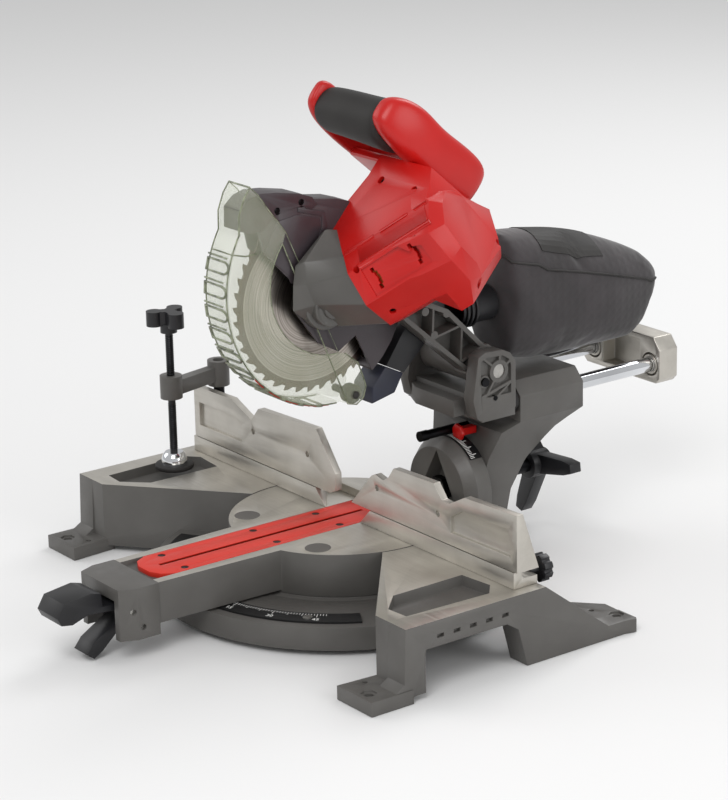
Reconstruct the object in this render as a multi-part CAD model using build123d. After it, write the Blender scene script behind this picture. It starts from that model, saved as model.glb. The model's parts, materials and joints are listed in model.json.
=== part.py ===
from build123d import *
import math
import os

# Sliding compound mitre saw with a 190 mm blade, head raised, mitre and bevel at zero.
# Millimetres. +X to the operator's right, +Y to the back, +Z up.
# Origin: floor level, in the middle of the rectangle of the four bench bolt holes.

# Driving dimensions of the base and table
TABLE_Z = 75.0
FENCE_Y = 17.0
FENCE_HALF = 275.0
FENCE_GAP_Z = 93.0
FENCE_TOP_Z = 150.0
WING_X = 288.0
WING_FRONT_Y = -123.0
WING_BACK_Y = 46.0
BOLT_X = 269.5
BOLT_Y = 152.5
BOLT_HOLE_R = 4.5
SCREW_HOLE_R = 2.75
TABLE_R = 117.0
ARM_HALF = 40.0
ARM_FRONT_Y = -275.0
KERF_HALF = 29.7
KERF_FRONT_Y = -222.0
PIVOT_R = 8.0

# Driving dimensions of the bevel pivot and the slide
TRUNNION_R = 55.0
TRUNNION_Y = (140.0, 170.0)
PIN_Z = 137.5
RAIL_X = 46.0
RAIL_Z = 172.0
RAIL_R = 8.0
HOUSING_Y = (205.0, 291.0)
SLIDE_TRAVEL = 100.0

# Driving dimensions of the saw head, drawn level as in the cut and then raised
CHOP_Y = 175.0
CHOP_Z = 212.0
CHOP_ANGLE = 41.0
BLADE_R = 95.0
BLADE_Y = -32.0
BLADE_Z = 162.0
GUARD_Y = -35.0
GUARD_Z = 187.0
MOTOR_TILT = 48.0
MOTOR_Y = -20.0
PORT_X = 8.0
PORT_Z = 270.0
PORT_R = 19.0
RUN_GAP = 0.05


def block(x0, x1, y0, y1, z0, z1):
    """Box between two corners."""
    centre = ((x0 + x1) / 2, (y0 + y1) / 2, (z0 + z1) / 2)
    return Pos(*centre) * Box(x1 - x0, y1 - y0, z1 - z0)


def prism(points, axis, low, high):
    """Polygon drawn across an axis and pushed from low to high along it.

    Points are (y, z) for X, (x, z) for Y and (x, y) for Z."""
    place = {
        "X": lambda a, b: (low, a, b),
        "Y": lambda a, b: (a, low, b),
        "Z": lambda a, b: (a, b, low),
    }[axis]
    push = {"X": (high - low, 0, 0), "Y": (0, high - low, 0), "Z": (0, 0, high - low)}[axis]
    wire = Wire.make_polygon([Vector(*place(a, b)) for a, b in points], close=True)
    return Part([Solid.extrude(Face(wire), Vector(*push))])


def bar(axis, a, b, radius, low, high):
    """Round bar along an axis; a and b are its place across that axis."""
    length = high - low
    middle = (low + high) / 2
    turned = {
        "X": Pos(middle, a, b) * Rot(0, 90, 0),
        "Y": Pos(a, middle, b) * Rot(90, 0, 0),
        "Z": Pos(a, b, middle),
    }[axis]
    return turned * Cylinder(radius, length)


def tube(axis, a, b, outer, inner, low, high):
    """Round tube along an axis."""
    return bar(axis, a, b, outer, low, high) - bar(axis, a, b, inner, low - 1, high + 1)


def both(shape):
    """The shape and its mirror image across the blade plane."""
    return shape + mirror(shape, Plane.YZ)


def arc_points(cy, cz, radius, start, end, count):
    """Points on an arc, angles in degrees from +Y towards +Z."""
    step = (end - start) / (count - 1)
    angles = [math.radians(start + step * i) for i in range(count)]
    return [(cy + radius * math.cos(a), cz + radius * math.sin(a)) for a in angles]


def raised(shape):
    """Turn a piece of the head from the level cut to its raised rest."""
    return shape.rotate(Axis((0, CHOP_Y, CHOP_Z), (1, 0, 0)), -CHOP_ANGLE)


def along_motor(shape):
    """Place a piece drawn about +Z on the motor shaft's line, in the level head."""
    return Pos(34, MOTOR_Y, BLADE_Z + 12) * Rot(0, 90 - MOTOR_TILT, 0) * shape


# ---------------------------------------------------------------- base
def base_casting():
    wing = [(242, WING_FRONT_Y), (WING_X, WING_FRONT_Y), (WING_X, WING_BACK_Y), (96, WING_BACK_Y)]
    wing += [(96, -4), (124, -26)]
    pocket = [(213, -80), (237, -104), (262, -102), (266, -6), (250, 8), (212, 4)]
    side = [(-160, 0), (-116, 0), (-99, 49), (-2, 49), (12, 40), (23, 0), (162, 0), (162, 14)]
    side += [(126, 14), (WING_BACK_Y, TABLE_Z), (WING_FRONT_Y, TABLE_Z), (-125, 20), (-135, 14)]
    side += [(-160, 14)]
    wall = [(242, WING_FRONT_Y), (WING_X, WING_FRONT_Y), (WING_X, -100), (250, -100)]
    wall += [(140, -6), (124, -26)]
    right = prism(wing, "Z", 58, TABLE_Z) + prism(side, "X", 262, WING_X)
    right += prism(wall, "Z", 6, 60)
    right += prism([(96, -4), (124, -26), (140, -6), (118, WING_BACK_Y), (96, WING_BACK_Y)], "Z", 6, 60)
    right += block(96, WING_X, WING_BACK_Y - 12, WING_BACK_Y, 30, 60)
    right += prism([(236, -165), (290, -165), (290, -116), (240, -112)], "Z", 0, 14)
    right += prism([(197, 122), (231, 126), (284, 128), (291, 160), (242, 162)], "Z", 0, 14)
    leg = [(30, TABLE_Z), (WING_BACK_Y, TABLE_Z), (130, 14), (130, 0), (108, 0), (40, 50)]
    right += prism(leg, "X", 236, 264)
    right -= prism(pocket, "Z", 64, TABLE_Z + 1)
    ring = bar("Z", 0, FENCE_Y, 196, 6, 30) & block(-197, 197, -190, 75, 0, 40)
    floor = block(-150, 150, -60, 44, 6, 16)
    shape = both(right) + ring + floor
    shape -= bar("Z", 0, FENCE_Y, TABLE_R + 9, 16, 32)
    shape -= bar("Z", 0, FENCE_Y, TABLE_R + 1.5, 28, TABLE_Z + 1)
    shape -= bar("Z", 0, FENCE_Y, PIVOT_R, 0, 40)
    shape -= bar("Z", -252, 37, 6, 62.5, 80)
    for sx in (-1, 1):
        for sy in (-1, 1):
            x = sx * BOLT_X
            y = sy * BOLT_Y
            shape -= bar("Z", x, y, BOLT_HOLE_R, -1, 20)
            shape -= Pos(x, y, 12) * extrude(RegularPolygon(8, 6), 10)
            shape -= bar("Z", sx * 246.5, sy * 140, SCREW_HOLE_R, -1, 20)
        for i in range(5):
            x = sx * (WING_X - 1)
            y = -82 + 19.5 * i
            shape -= block(x - 3, x + 3, y - 4, y + 4, 57, 61)
    return shape


def lower_fence():
    top = [(30, FENCE_Y), (FENCE_HALF, FENCE_Y), (FENCE_HALF, FENCE_Y + 10), (40, FENCE_Y + 10)]
    foot = [(100, FENCE_Y + 6), (FENCE_HALF, FENCE_Y + 6), (FENCE_HALF, 46), (100, 46)]
    z0 = TABLE_Z + 0.3
    right = prism(top, "Z", z0, FENCE_GAP_Z - 1)
    right += prism(foot, "Z", z0, TABLE_Z + 9)
    nose = [(29, z0 - 1), (48, FENCE_GAP_Z), (20, FENCE_GAP_Z)]
    right -= prism(nose, "Y", FENCE_Y - 2, FENCE_Y + 12)
    right -= block(190, 210, 29, 33.1, z0 - 1, 84.6)
    shape = both(right)
    bridge = [(-104, 46), (-104, 30), (-62, 60), (62, 60), (104, 30), (104, 46), (66, 74), (-66, 74)]
    shape += prism(bridge, "Z", z0, TABLE_Z + 9)
    for x in (-232, 232):
        shape -= bar("Z", x, 36, 3.3, 70, 90)
    shape -= bar("Z", -252, 37, 6, 70, 90)
    return shape


def upper_fence(side):
    if side < 0:
        outline = [(11, 98), (11, 116), (43, 157), (148, 153), (162, 137), (199, 152), (272, 150)]
        outline += [(272, FENCE_GAP_Z), (22, FENCE_GAP_Z)]
        pocket = [(181, 108), (181, 127), (197, 134), (262, 133), (262, 107)]
        holes = ((60, 125), (159, 125))
    else:
        outline = [(16, FENCE_GAP_Z), (51, 131), (57, 134), (70, 131), (79, 136), (88, 148), (153, 150)]
        outline += [(165, 136), (176, 135), (188, 141), (201, 148), (280, 151), (280, FENCE_GAP_Z)]
        pocket = [(179, 106), (179, 122), (197, 133), (267, 134), (270, 107)]
        holes = ((60, 120), (159, 120))
    outline = [(side * x, z) for x, z in outline]
    pocket = [(side * x, z) for x, z in pocket]
    shape = prism(outline, "Y", FENCE_Y, FENCE_Y + 8)
    end = [(FENCE_Y, FENCE_GAP_Z), (FENCE_Y, 150), (FENCE_Y + 8, 150), (44, FENCE_GAP_Z)]
    if side < 0:
        shape += prism(end, "X", -272, -266)
    else:
        shape += prism(end, "X", 274, 280)
    shape += block(min(side * 150, side * 268), max(side * 150, side * 268), 25, 30, FENCE_GAP_Z, 99)
    shape -= prism(pocket, "Y", FENCE_Y - 1, FENCE_Y + 4)
    for x, z in holes:
        shape -= bar("Y", side * x, z, 3.2, FENCE_Y - 1, FENCE_Y + 10)
    return shape


def fence_knob(side):
    x = side * 262
    shape = bar("Y", x, 84, 14, 56, 66) + bar("Y", x, 84, 4, 46.4, 56)
    for i in range(8):
        angle = math.radians(45 * i)
        dx = 14.5 * math.cos(angle)
        dz = 14.5 * math.sin(angle)
        shape -= bar("Y", x + dx, 84 + dz, 2.5, 55, 67)
    return shape


def mitre_scale():
    ring = tube("Z", 0, FENCE_Y, 186, 164, 30, 32)
    front = prism([(0, FENCE_Y), (-190, -96), (-190, -190), (190, -190), (190, -96)], "Z", 29, 33)
    shape = ring & front
    for x in (-118, 118):
        shape -= bar("Z", x, -113, 2.6, 29, 33)
    return shape


def scale_screws():
    return both(bar("Z", 118, -113, 2.5, 30, 32) + bar("Z", 118, -113, 5, 32, 32.8))


def mitre_pivot_bolt():
    return bar("Z", 0, FENCE_Y, PIVOT_R, 6, 58) + bar("Z", 0, FENCE_Y, 13, 0.5, 6)


# ---------------------------------------------------------------- table
def turntable():
    shape = bar("Z", 0, FENCE_Y, TABLE_R, 31, TABLE_Z) + bar("Z", 0, FENCE_Y, TABLE_R + 7, 18, 29)
    shape += bar("Z", 0, FENCE_Y, TABLE_R - 1, 28, 32)
    arm = [(-ARM_HALF, ARM_FRONT_Y + 42), (ARM_HALF, ARM_FRONT_Y + 42), (ARM_HALF + 4, -80), (-ARM_HALF - 4, -80)]
    shape += prism(arm, "Z", 33, TABLE_Z)
    neck = [(-42, 100), (42, 100), (42, TRUNNION_Y[0] - 0.5), (-42, TRUNNION_Y[0] - 0.5)]
    shape += prism(neck, "Z", 31, TABLE_Z - 6)
    shape -= bar("Z", 0, FENCE_Y, 100, 10, 62)
    shape += bar("Z", 0, FENCE_Y, 22, 18, 64)
    for i in range(6):
        rib = block(20, 104, -2.5, 2.5, 24, 64)
        shape += Pos(0, FENCE_Y, 0) * Rot(0, 0, 30 + 60 * i) * rib
    shape -= block(-34, 34, ARM_FRONT_Y, -90, 20, 62)
    shape -= block(-KERF_HALF - 0.2, KERF_HALF + 0.2, KERF_FRONT_Y - 12, 52, 70, TABLE_Z + 1)
    shape -= block(-13, 13, -212, 44, 10, 72)
    shape -= block(-13, 13, 8, 26, 10, 60)
    shape += tube("Z", 0, FENCE_Y, 16, PIVOT_R, 18, 58)
    shape -= bar("Z", 0, FENCE_Y, PIVOT_R + RUN_GAP, 10, 60)
    for x in (-62, 62):
        shape -= bar("Z", x, -59, 13, 72, TABLE_Z + 1)
    return shape


def table_inlays():
    return both(bar("Z", 62, -59, 12.9, 72, TABLE_Z - 0.1))


def kerf_plate():
    straight = block(-KERF_HALF, KERF_HALF, KERF_FRONT_Y + 16, 50, 70, TABLE_Z)
    nose = [(-KERF_HALF, KERF_FRONT_Y + 17), (-22, KERF_FRONT_Y + 4), (-10, KERF_FRONT_Y - 2)]
    nose += [(10, KERF_FRONT_Y - 2), (22, KERF_FRONT_Y + 4), (KERF_HALF, KERF_FRONT_Y + 17)]
    shape = straight + prism(nose, "Z", 70, TABLE_Z)
    slot = [(-2.5, 76), (2.5, 76), (2.5, 74), (8, 69), (-8, 69), (-2.5, 74)]
    shape -= prism(slot, "Y", -206, 42)
    for x, y in KERF_SCREWS:
        shape -= bar("Z", x, y, 2.1, 69, TABLE_Z + 1)
        shape -= bar("Z", x, y, 4.1, 73, TABLE_Z + 1)
    return shape


KERF_SCREWS = [(x, y) for y in (-190, -80, -2) for x in (-21, 21)]


def kerf_screws():
    shape = Part()
    for x, y in KERF_SCREWS:
        shape += bar("Z", x, y, 2.0, 70.1, 73) + bar("Z", x, y, 3.9, 73, 74.6)
    return shape


def lock_box():
    plan = [(-34, ARM_FRONT_Y), (34, ARM_FRONT_Y), (41, -258), (41, -233.2), (-41, -233.2), (-41, -258)]
    shape = prism(plan, "Z", 22, TABLE_Z)
    shape -= block(-26, 26, -280, -240, 18, 62)
    shape -= bar("X", -262, 51, 3, -50, 50)
    shape -= bar("X", -252, 34, 3, -50, 50)
    shape -= bar("Y", 0, 45, 5.05, -241, -230)
    return shape


def mitre_lock_lever():
    arm = [(-334, 56), (-326, 69), (-296, 73), (-285, 70), (-284, 56), (-258, 56), (-256, 48)]
    arm += [(-300, 52), (-318, 46), (-330, 48)]
    shape = prism(arm, "X", -19, 19)
    shape += bar("X", -262, 51, 6, -25, 25)
    return shape - bar("X", -262, 51, 3.05, -26, 26)


def lever_pins():
    return bar("X", -262, 51, 3, -37, 37) + bar("X", -252, 34, 3, -37, 37)


def detent_lever():
    arm = [(-300, 8), (-292, 18), (-262, 36), (-250, 42), (-245, 34), (-262, 26), (-282, 8), (-292, 2)]
    shape = prism(arm, "X", -12, 12) + bar("X", -252, 34, 7, -25, 25)
    return shape - bar("X", -252, 34, 3.05, -26, 26)


def detent_plunger():
    return bar("Y", 0, 45, 5, -239, -190)


def bevel_trunnion():
    y0, y1 = TRUNNION_Y
    shape = bar("Y", 0, TABLE_Z, TRUNNION_R, y0 + 12, y1)
    front = Pos(0, y0 + 6, TABLE_Z) * Rot(90, 0, 0) * Cone(TRUNNION_R, TRUNNION_R - 9, 12)
    shape += front
    shape -= block(-60, 60, y0 - 2, y1 + 2, 0, 31)
    shape -= prism([(-30, 66), (30, 66), (0, 118)], "Y", y0 - 2, y1 - 10)
    shape -= bar("Y", 0, TABLE_Z, PIVOT_R, y0 - 5, y1 + 5)
    shape -= bar("Y", 0, TABLE_Z, 18, y0 - 2, 150)
    return shape


def bevel_scale():
    y0, y1 = TRUNNION_Y
    ring = tube("Y", 0, TABLE_Z, TRUNNION_R + 1.6, TRUNNION_R, y0 + 14, y1 - 1)
    wedge = [(0, TABLE_Z), (-58, TABLE_Z + 58), (58, TABLE_Z + 58)]
    return ring & prism(wedge, "Y", y0, y1)


def bevel_pivot_bolt():
    head = Pos(0, 150, TABLE_Z) * Rot(90, 0, 0) * extrude(RegularPolygon(14, 6), 9)
    return head + bar("Y", 0, TABLE_Z, PIVOT_R, 148, 262)


# ---------------------------------------------------------------- bevel arm
def bevel_arm():
    y0, y1 = HOUSING_Y
    side = [(y0, 192), (y1, 192), (y1, 150), (273, 142), (257, 134), (246, 124), (223, 99)]
    side += [(206, 72), (198, 30), (172, 30), (172, 112), (182, 142), (y0, 150)]
    shape = prism(side, "X", -60, 60)
    for sx in (-1, 1):
        taper = [(sx * 70, 150), (sx * 60, 150), (sx * 44, 104), (sx * 40, 20), (sx * 70, 20)]
        shape -= prism(taper, "Y", 160, 320)
        corner = [(sx * 46, 193), (sx * 61, 193), (sx * 61, 177)]
        shape -= prism(corner, "Y", 160, 320)
        shape -= bar("Y", sx * RAIL_X, RAIL_Z, RAIL_R + 3, 180, 320)
    shape -= block(-30, 30, 190, 300, 154, 182)
    shape -= bar("Y", 0, TABLE_Z, PIVOT_R + RUN_GAP, 160, 300)
    shape -= bar("Y", 0, PIN_Z, 4 + RUN_GAP, 160, 240)
    back = [(-34, 28), (34, 28), (40, 96), (24, 130), (-24, 130), (-40, 96)]
    shape -= prism(back, "Y", 186, 300) - bar("Y", 0, TABLE_Z, 18, 180, 236) - bar("Y", 0, PIN_Z, 9, 180, 240)
    return shape


def rail_bushes():
    shape = Part()
    for x in (-RAIL_X, RAIL_X):
        for y in (HOUSING_Y[0], HOUSING_Y[1] - 24):
            shape += tube("Y", x, RAIL_Z, RAIL_R + 3, RAIL_R + RUN_GAP, y, y + 24)
    return shape


def bevel_pointer():
    flag = [(8, 132.5), (20, 130.5), (24, 138), (20, 145), (12, 147), (7, 141)]
    return prism(flag, "Y", 156, 160) + block(10, 19, 160, 179.3, 134, 142)


def bevel_detent_pin():
    shape = bar("Y", 0, PIN_Z, 4, 128, 230) + bar("Y", 0, PIN_Z, 5.6, 118, 128)
    return shape + bar("Y", 0, PIN_Z, 5, 128, 165)


def bevel_lock_knob():
    shape = bar("Y", 0, TABLE_Z, 15, 262.2, 288)
    for angle in (8, 128, 248):
        lobe = prism([(8, -11), (50, -8), (63, -5), (63, 5), (50, 8), (8, 11)], "Y", 271, 286)
        shape += lobe.rotate(Axis((0, 0, 0), (0, 1, 0)), -angle).translate((0, 0, TABLE_Z))
    return shape


# ---------------------------------------------------------------- slide carriage
def carriage():
    shape = block(-62, 62, 152, 196, 161, 186)
    chin = [(-62, 152), (-30, 137), (34, 137), (34, 153), (-62, 153)]
    shape += prism(chin, "Z", 163, 181)
    ear = [(146, 166), (141, 186), (148, 231), (157, 235), (180, 234), (190, 229), (197, 219)]
    ear += [(197, 170), (190, 165), (150, 163)]
    right = prism(ear, "X", 46, 62)
    hollow = [(152, 172), (151, 204), (151, 226), (158, 229), (180, 228), (188, 223), (191, 216), (191, 172)]
    right -= prism(hollow, "X", 58, 63)
    left = prism(ear, "X", -62, -48)
    boss = bar("X", CHOP_Y, CHOP_Z, 12, 46, 62)
    ribs = prism([(152, 186), (152, 189), (192, 200), (192, 197)], "X", 57, 62)
    ribs += prism([(152, 186), (152, 189), (192, 178), (192, 175)], "X", 57, 62)
    ribs += prism([(190, 198), (193, 198), (155, 171), (151, 172)], "X", 57, 62)
    for angle in (30, 85, 140, 235):
        rib = Pos(0, CHOP_Y, CHOP_Z) * Rot(angle, 0, 0) * block(57, 62, 8, 28, -1.2, 1.2)
        right += rib & prism(ear, "X", 46, 62)
    shape += right
    shape += left
    shape += boss
    shape += ribs
    shape += bar("X", 156, 204, 6.5, 46, 61.5)
    shape -= bar("X", 156, 204, 2.6, 50, 63)
    shape -= bar("X", 170, 184, 2.6, 56, 63)
    for x in (-RAIL_X, RAIL_X):
        shape -= bar("Y", x, RAIL_Z, RAIL_R, 156, 200)
    shape -= bar("X", CHOP_Y, CHOP_Z, 7.5, -63, 63)
    return shape


def carriage_bolts():
    shape = bar("X", 156, 204, 2.6, 50, 61) + bar("X", 156, 204, 4.6, 61.5, 64)
    shape += bar("X", 156, 204, 2.6, 60, 62) + bar("X", 170, 184, 2.6, 56, 62.5)
    return shape


def slide_rails():
    return both(bar("Y", RAIL_X, RAIL_Z, RAIL_R, 156, 416))


def rail_end_cap():
    plan = [(-62, 158), (-56, 152), (56, 152), (62, 158), (62, 190), (52, 203), (-52, 203), (-62, 190)]
    shape = prism(plan, "Y", 398, 424)
    for sx in (-1, 1):
        shape -= tube("Y", sx * RAIL_X, RAIL_Z, 13, 11, 397, 412)
        shape -= bar("Y", sx * RAIL_X, RAIL_Z, RAIL_R, 397, 416)
    return shape - block(-30, 30, 397, 416, 158, 197)


def rail_bumpers():
    return both(tube("Y", RAIL_X, RAIL_Z, 13, RAIL_R, 197.3, 204))


def pivot_shaft():
    return bar("X", CHOP_Y, CHOP_Z, 7.5, -62, 61)


# ---------------------------------------------------------------- saw head, drawn level
def head_arm():
    frame = [(36, 199), (52, 195), (158, 195), (158, 229), (92, 233), (52, 222), (38, 212)]
    inner = [(46, 201), (54, 199.5), (156, 199.5), (156, 224), (93, 228), (54, 217), (44, 208)]
    shape = prism(frame, "X", 19.5, 41) - prism(inner, "X", 23, 42)
    bays = [46, 70, 94, 118, 142, 158]
    for i in range(len(bays) - 1):
        a = bays[i]
        b = bays[i + 1]
        up = i % 2 == 0
        z0, z1 = (200, 229) if up else (229, 200)
        web = [(a, z0), (a + 3, z0), (b + 1.5, z1), (b - 1.5, z1)]
        shape += prism(web, "X", 22, 40.5) & prism(frame, "X", 19.5, 41)
    for y, z in ((68, 216), (94, 203), (93, 229)):
        shape += bar("X", y, z, 4.5, 22, 41) & prism(frame, "X", 19.5, 41)
    hub = [(150, 193), (196, 193), (198, 204), (196, 226), (184, 232), (150, 232)]
    shape += bar("X", CHOP_Y, CHOP_Z, 20, -44, 45)
    shape += prism(hub, "X", 19.5, 41) & bar("X", CHOP_Y, CHOP_Z, 24, 19, 42)
    shape -= bar("X", CHOP_Y, CHOP_Z, 7.5 + RUN_GAP, -50, 50)
    shape -= tube("X", CHOP_Y, CHOP_Z, 16, 7, -40, 0)
    return raised(shape)


def return_spring():
    shape = Part()
    for i in range(6):
        x = -36 + 6 * i
        shape += tube("X", CHOP_Y, CHOP_Z, 13.5, 10.5, x, x + 3)
    return raised(shape)


def gear_case():
    boss = bar("X", BLADE_Y, BLADE_Z, 22, 14.6, 30)
    boss -= Pos(26, BLADE_Y, BLADE_Z) * Rot(0, 90, 0) * extrude(RegularPolygon(9, 6), 12)
    neck = bar("X", -24, 174, 42, 19.2, 24)
    tilt = Pos(34, MOTOR_Y, BLADE_Z + 12) * Rot(0, 90 - MOTOR_TILT, 0)
    low = [(19.5, BLADE_Y + 44 * math.cos(a), 176 + 44 * math.sin(a)) for a in OCTAGON]
    high = [(-43 * math.sin(a), 43 * math.cos(a), 34) for a in OCTAGON]
    high = [(tilt * Pos(*point)).position for point in high]
    low = [Vector(*point) for point in low]
    rings = [Wire.make_polygon(ring, close=True) for ring in (low, high)]
    body = Part([Solid.make_loft(rings, True)])
    bridge = prism([(8, 186), (38, 194), (60, 194.5), (60, 222), (30, 231), (0, 231)], "X", 19.5, 34)
    shape = body + neck + boss + bridge
    shape -= head_arm_envelope()
    shape -= tilt * Pos(0, 0, 84.02) * Box(260, 260, 100)
    shape -= bar("X", BLADE_Y, BLADE_Z, 14, 12, 25)
    shape -= along_motor(Pos(0, 0, 8) * Cylinder(21, 60))
    return raised(shape)


OCTAGON = [math.radians(22.5 + 45 * i) for i in range(8)]


def head_arm_envelope():
    frame = [(35.8, 198.8), (52, 194.8), (200, 194.8), (200, 240), (92, 233.2), (52, 222.2), (37.8, 212.2)]
    return prism(frame, "X", 19, 50)


def upper_guard_outline(shell):
    front = [(-150 + shell, 185), (-146 + shell, 199), (-138 + shell, 211 - shell), (-122, 232 - shell)]
    front += [(-104, 239 - shell)]
    radius = 104 - shell
    return front + arc_points(BLADE_Y, BLADE_Z, radius, 128, -12, 15)


def upper_guard():
    bottom = [(28, 158), (20, 134), (-8, 128), (-50, 138), (-60, 147), (-70, 160), (-122, 165), (-138, 177)]
    full = upper_guard_outline(0) + bottom
    hollow = upper_guard_outline(3.2) + [(60, 100), (-8, 90), (-160, 100)]
    shape = prism(full, "X", -14, 14) - prism(hollow, "X", -11.5, 11.5)
    shape -= bar("X", BLADE_Y, BLADE_Z, 22.2, 5, 15)
    for y, z in GUARD_SCREWS:
        shape -= bar("X", y, z, 2.5, 11, 15)
    return raised(shape)


GUARD_SCREWS = ((-134, 206), (-114, 228))


def guard_screws():
    shape = Part()
    for y, z in GUARD_SCREWS:
        shape += bar("X", y, z, 2.4, 11.5, 14) + bar("X", y, z, 3.8, 14, 14.4)
    return raised(shape)


def motor_housing():
    barrel = Pos(0, 0, 84.2) * extrude(RegularPolygon(43, 8, rotation=22.5), 51, both=True)
    shape = along_motor(barrel)
    flange = [(-46, -50), (60, -50), (76, -20), (66, 40), (10, 56), (-46, 30)]
    wire = Wire.make_polygon([Vector(-m, y, 112) for y, m in flange], close=True)
    shape += along_motor(Part([Solid.extrude(Face(wire), Vector(0, 0, 34))]))
    tower = [(-66, 232), (-62, 300), (-24, 316), (24, 316), (60, 290), (60, 250), (20, 236)]
    shape += prism(tower, "X", 20, 74)
    shape -= along_motor(Pos(0, 0, 84) * Cylinder(38, 100))
    shape -= block(0, 140, -80, 80, 100, 196) - block(60, 140, -80, 80, 100, 196)
    shape -= gear_case_envelope()
    return raised(shape)


def gear_case_envelope():
    tilt = Pos(34, MOTOR_Y, BLADE_Z + 12) * Rot(0, 90 - MOTOR_TILT, 0)
    return tilt * Pos(0, 0, -66) * Box(220, 220, 200)


def handle():
    left = [(-128, 322), (-112, 316), (-30, 316), (-10, 322), (-10, 344), (-100, 358), (-124, 352)]
    right = [(-116, 326), (-104, 318), (-40, 316.2), (30, 316.2), (44, 330), (30, 368), (-84, 370), (-112, 360)]
    back = [(-44, 316.2), (26, 316.2), (26, 366), (-34, 366), (-44, 350)]
    shape = prism(left, "X", -56, -40) + prism(right, "X", 46, 66) + prism(back, "X", -56, 66)
    shape += bar("X", -99, 338, 11, -41, 47)
    shape -= block(-23, 19.5, -50, 50, 310, 332)
    shape -= block(18, 30, -50, -32, 342, 354)
    return raised(shape)


def handle_grip():
    oval = [(-99 + 21 * math.cos(a), 338 + 18 * math.sin(a)) for a in [math.radians(20 * i) for i in range(18)]]
    shape = prism(oval, "X", -39.8, 45.8) - bar("X", -99, 338, 11, -42, 48)
    shape -= block(-17, 17, -90, -60, 328, 350)
    return raised(shape)


def trigger():
    return raised(block(-16, 16, -80, -69, 329, 349))


def lock_off_button():
    return raised(block(19, 29, -52, -37, 343, 353))


def motor_stator():
    return raised(along_motor(Pos(0, 0, 78) * (Cylinder(37.8, 50) - Cylinder(24, 60))))


def rotor():
    shape = Pos(0, 0, 66) * Cylinder(5, 110)
    shape += Pos(0, 0, 78) * Cylinder(23, 48)
    shape += Pos(0, 0, 112) * Cylinder(34, 6)
    shape += Pos(0, 0, 12) * Cylinder(9, 10)
    return raised(along_motor(shape))


def spindle():
    shape = bar("X", BLADE_Y, BLADE_Z, 7.5, -10.4, 23)
    shape += bar("X", BLADE_Y, BLADE_Z, 12, 15.5, 20.1)
    return raised(shape)


def spindle_bearing():
    return raised(tube("X", BLADE_Y, BLADE_Z, 13.9, 7.55, 20.2, 24.8))


def saw_blade():
    shape = bar("X", BLADE_Y, BLADE_Z, BLADE_R - 5, -0.8, 0.8)
    teeth = 40
    pitch = 360 / teeth
    for i in range(teeth):
        a0 = math.radians(pitch * i)
        a1 = math.radians(pitch * (i + 0.28))
        a2 = math.radians(pitch * (i + 0.72))
        inner = BLADE_R - 6
        tooth = [
            (BLADE_Y + inner * math.cos(a0), BLADE_Z + inner * math.sin(a0)),
            (BLADE_Y + BLADE_R * math.cos(a0), BLADE_Z + BLADE_R * math.sin(a0)),
            (BLADE_Y + (BLADE_R - 1.5) * math.cos(a1), BLADE_Z + (BLADE_R - 1.5) * math.sin(a1)),
            (BLADE_Y + inner * math.cos(a2), BLADE_Z + inner * math.sin(a2)),
        ]
        shape += prism(tooth, "X", -0.8, 0.8)
    shape -= bar("X", BLADE_Y, BLADE_Z, 7.5, -5, 5)
    return raised(shape)


def blade_flanges():
    shape = tube("X", BLADE_Y, BLADE_Z, 19, 7.5, 0.8, 4)
    return raised(shape + tube("X", BLADE_Y, BLADE_Z, 19, 7.5, -4, -0.8))


def blade_bolt():
    head = bar("X", BLADE_Y, BLADE_Z, 10.5, -10.5, -4)
    return raised(head - bar("X", BLADE_Y, BLADE_Z, 7.5, -12, 0))


def lower_guard():
    rim = tube("X", GUARD_Y, GUARD_Z, 128, 125.5, -15, 15)
    rim &= prism(guard_sector(172, 315, 150), "X", -18, 18)
    flange = tube("X", GUARD_Y, GUARD_Z, 128, 76, 15, 18)
    flange &= prism(guard_sector(172, 318, 150), "X", -18, 18)
    nose = [(-113, 196), (-143, 203), (-168, 208), (-176, 207), (-173, 190), (-162, 176), (-112, 178)]
    tab = [(56, 132), (70, 124), (76, 104), (60, 96), (50, 112)]
    side = flange + prism(nose, "X", 15, 18) + prism(tab, "X", 15, 18)
    side -= bar("X", 65, 109, 4.0, -20, 20)
    lip = prism([(-176, 207), (-173.5, 207), (-159.5, 178), (-162, 176), (-173, 190)], "X", -15, 15)
    return raised(Compound(children=[*side.solids(), *mirror(side, Plane.YZ).solids(), *(rim + lip).solids()]))


def guard_sector(start, end, reach):
    """Wedge about the lower guard's pivot."""
    return [(GUARD_Y, GUARD_Z)] + arc_points(GUARD_Y, GUARD_Z, reach * 1.1, start, end, 9)


def guard_roller():
    shape = bar("X", 65, 109, 10, 3, 14.6) + bar("X", 65, 109, 3.95, -19.5, 19.5)
    return raised(shape)


def dust_chute():
    outer = [(80, 152), (104, 158), (108, 196), (138.6, 228), (109.6, 261.2), (80, 216), (76, 190)]
    inner = [(84, 150), (100, 154), (104, 198), (134, 229), (108, 256), (84, 215), (80, 190)]
    shape = raised(prism(outer, "X", -16, 17) - prism(inner, "X", -13, 14))
    return shape - bar("Y", PORT_X, PORT_Z, PORT_R - 3, 140, 160)


def dust_boot():
    outer = [(80, 151.5), (104, 157.5), (108, 136), (90, 112), (80, 126)]
    shape = prism(outer, "X", -16, 17)
    shape -= prism([(84, 160), (100, 160), (104, 137), (92, 118), (84, 128)], "X", -12, 13)
    return raised(shape)


def dust_port():
    shape = tube("Y", PORT_X, PORT_Z, PORT_R, PORT_R - 3, 158, 203.6)
    for y in (161, 167, 173):
        shape += tube("Y", PORT_X, PORT_Z, PORT_R + 3, PORT_R - 1, y, y + 3)
    return shape


# ---------------------------------------------------------------- clamp and dust bag
CLAMP_X = -237.0
CLAMP_Y = -34.0


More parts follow.
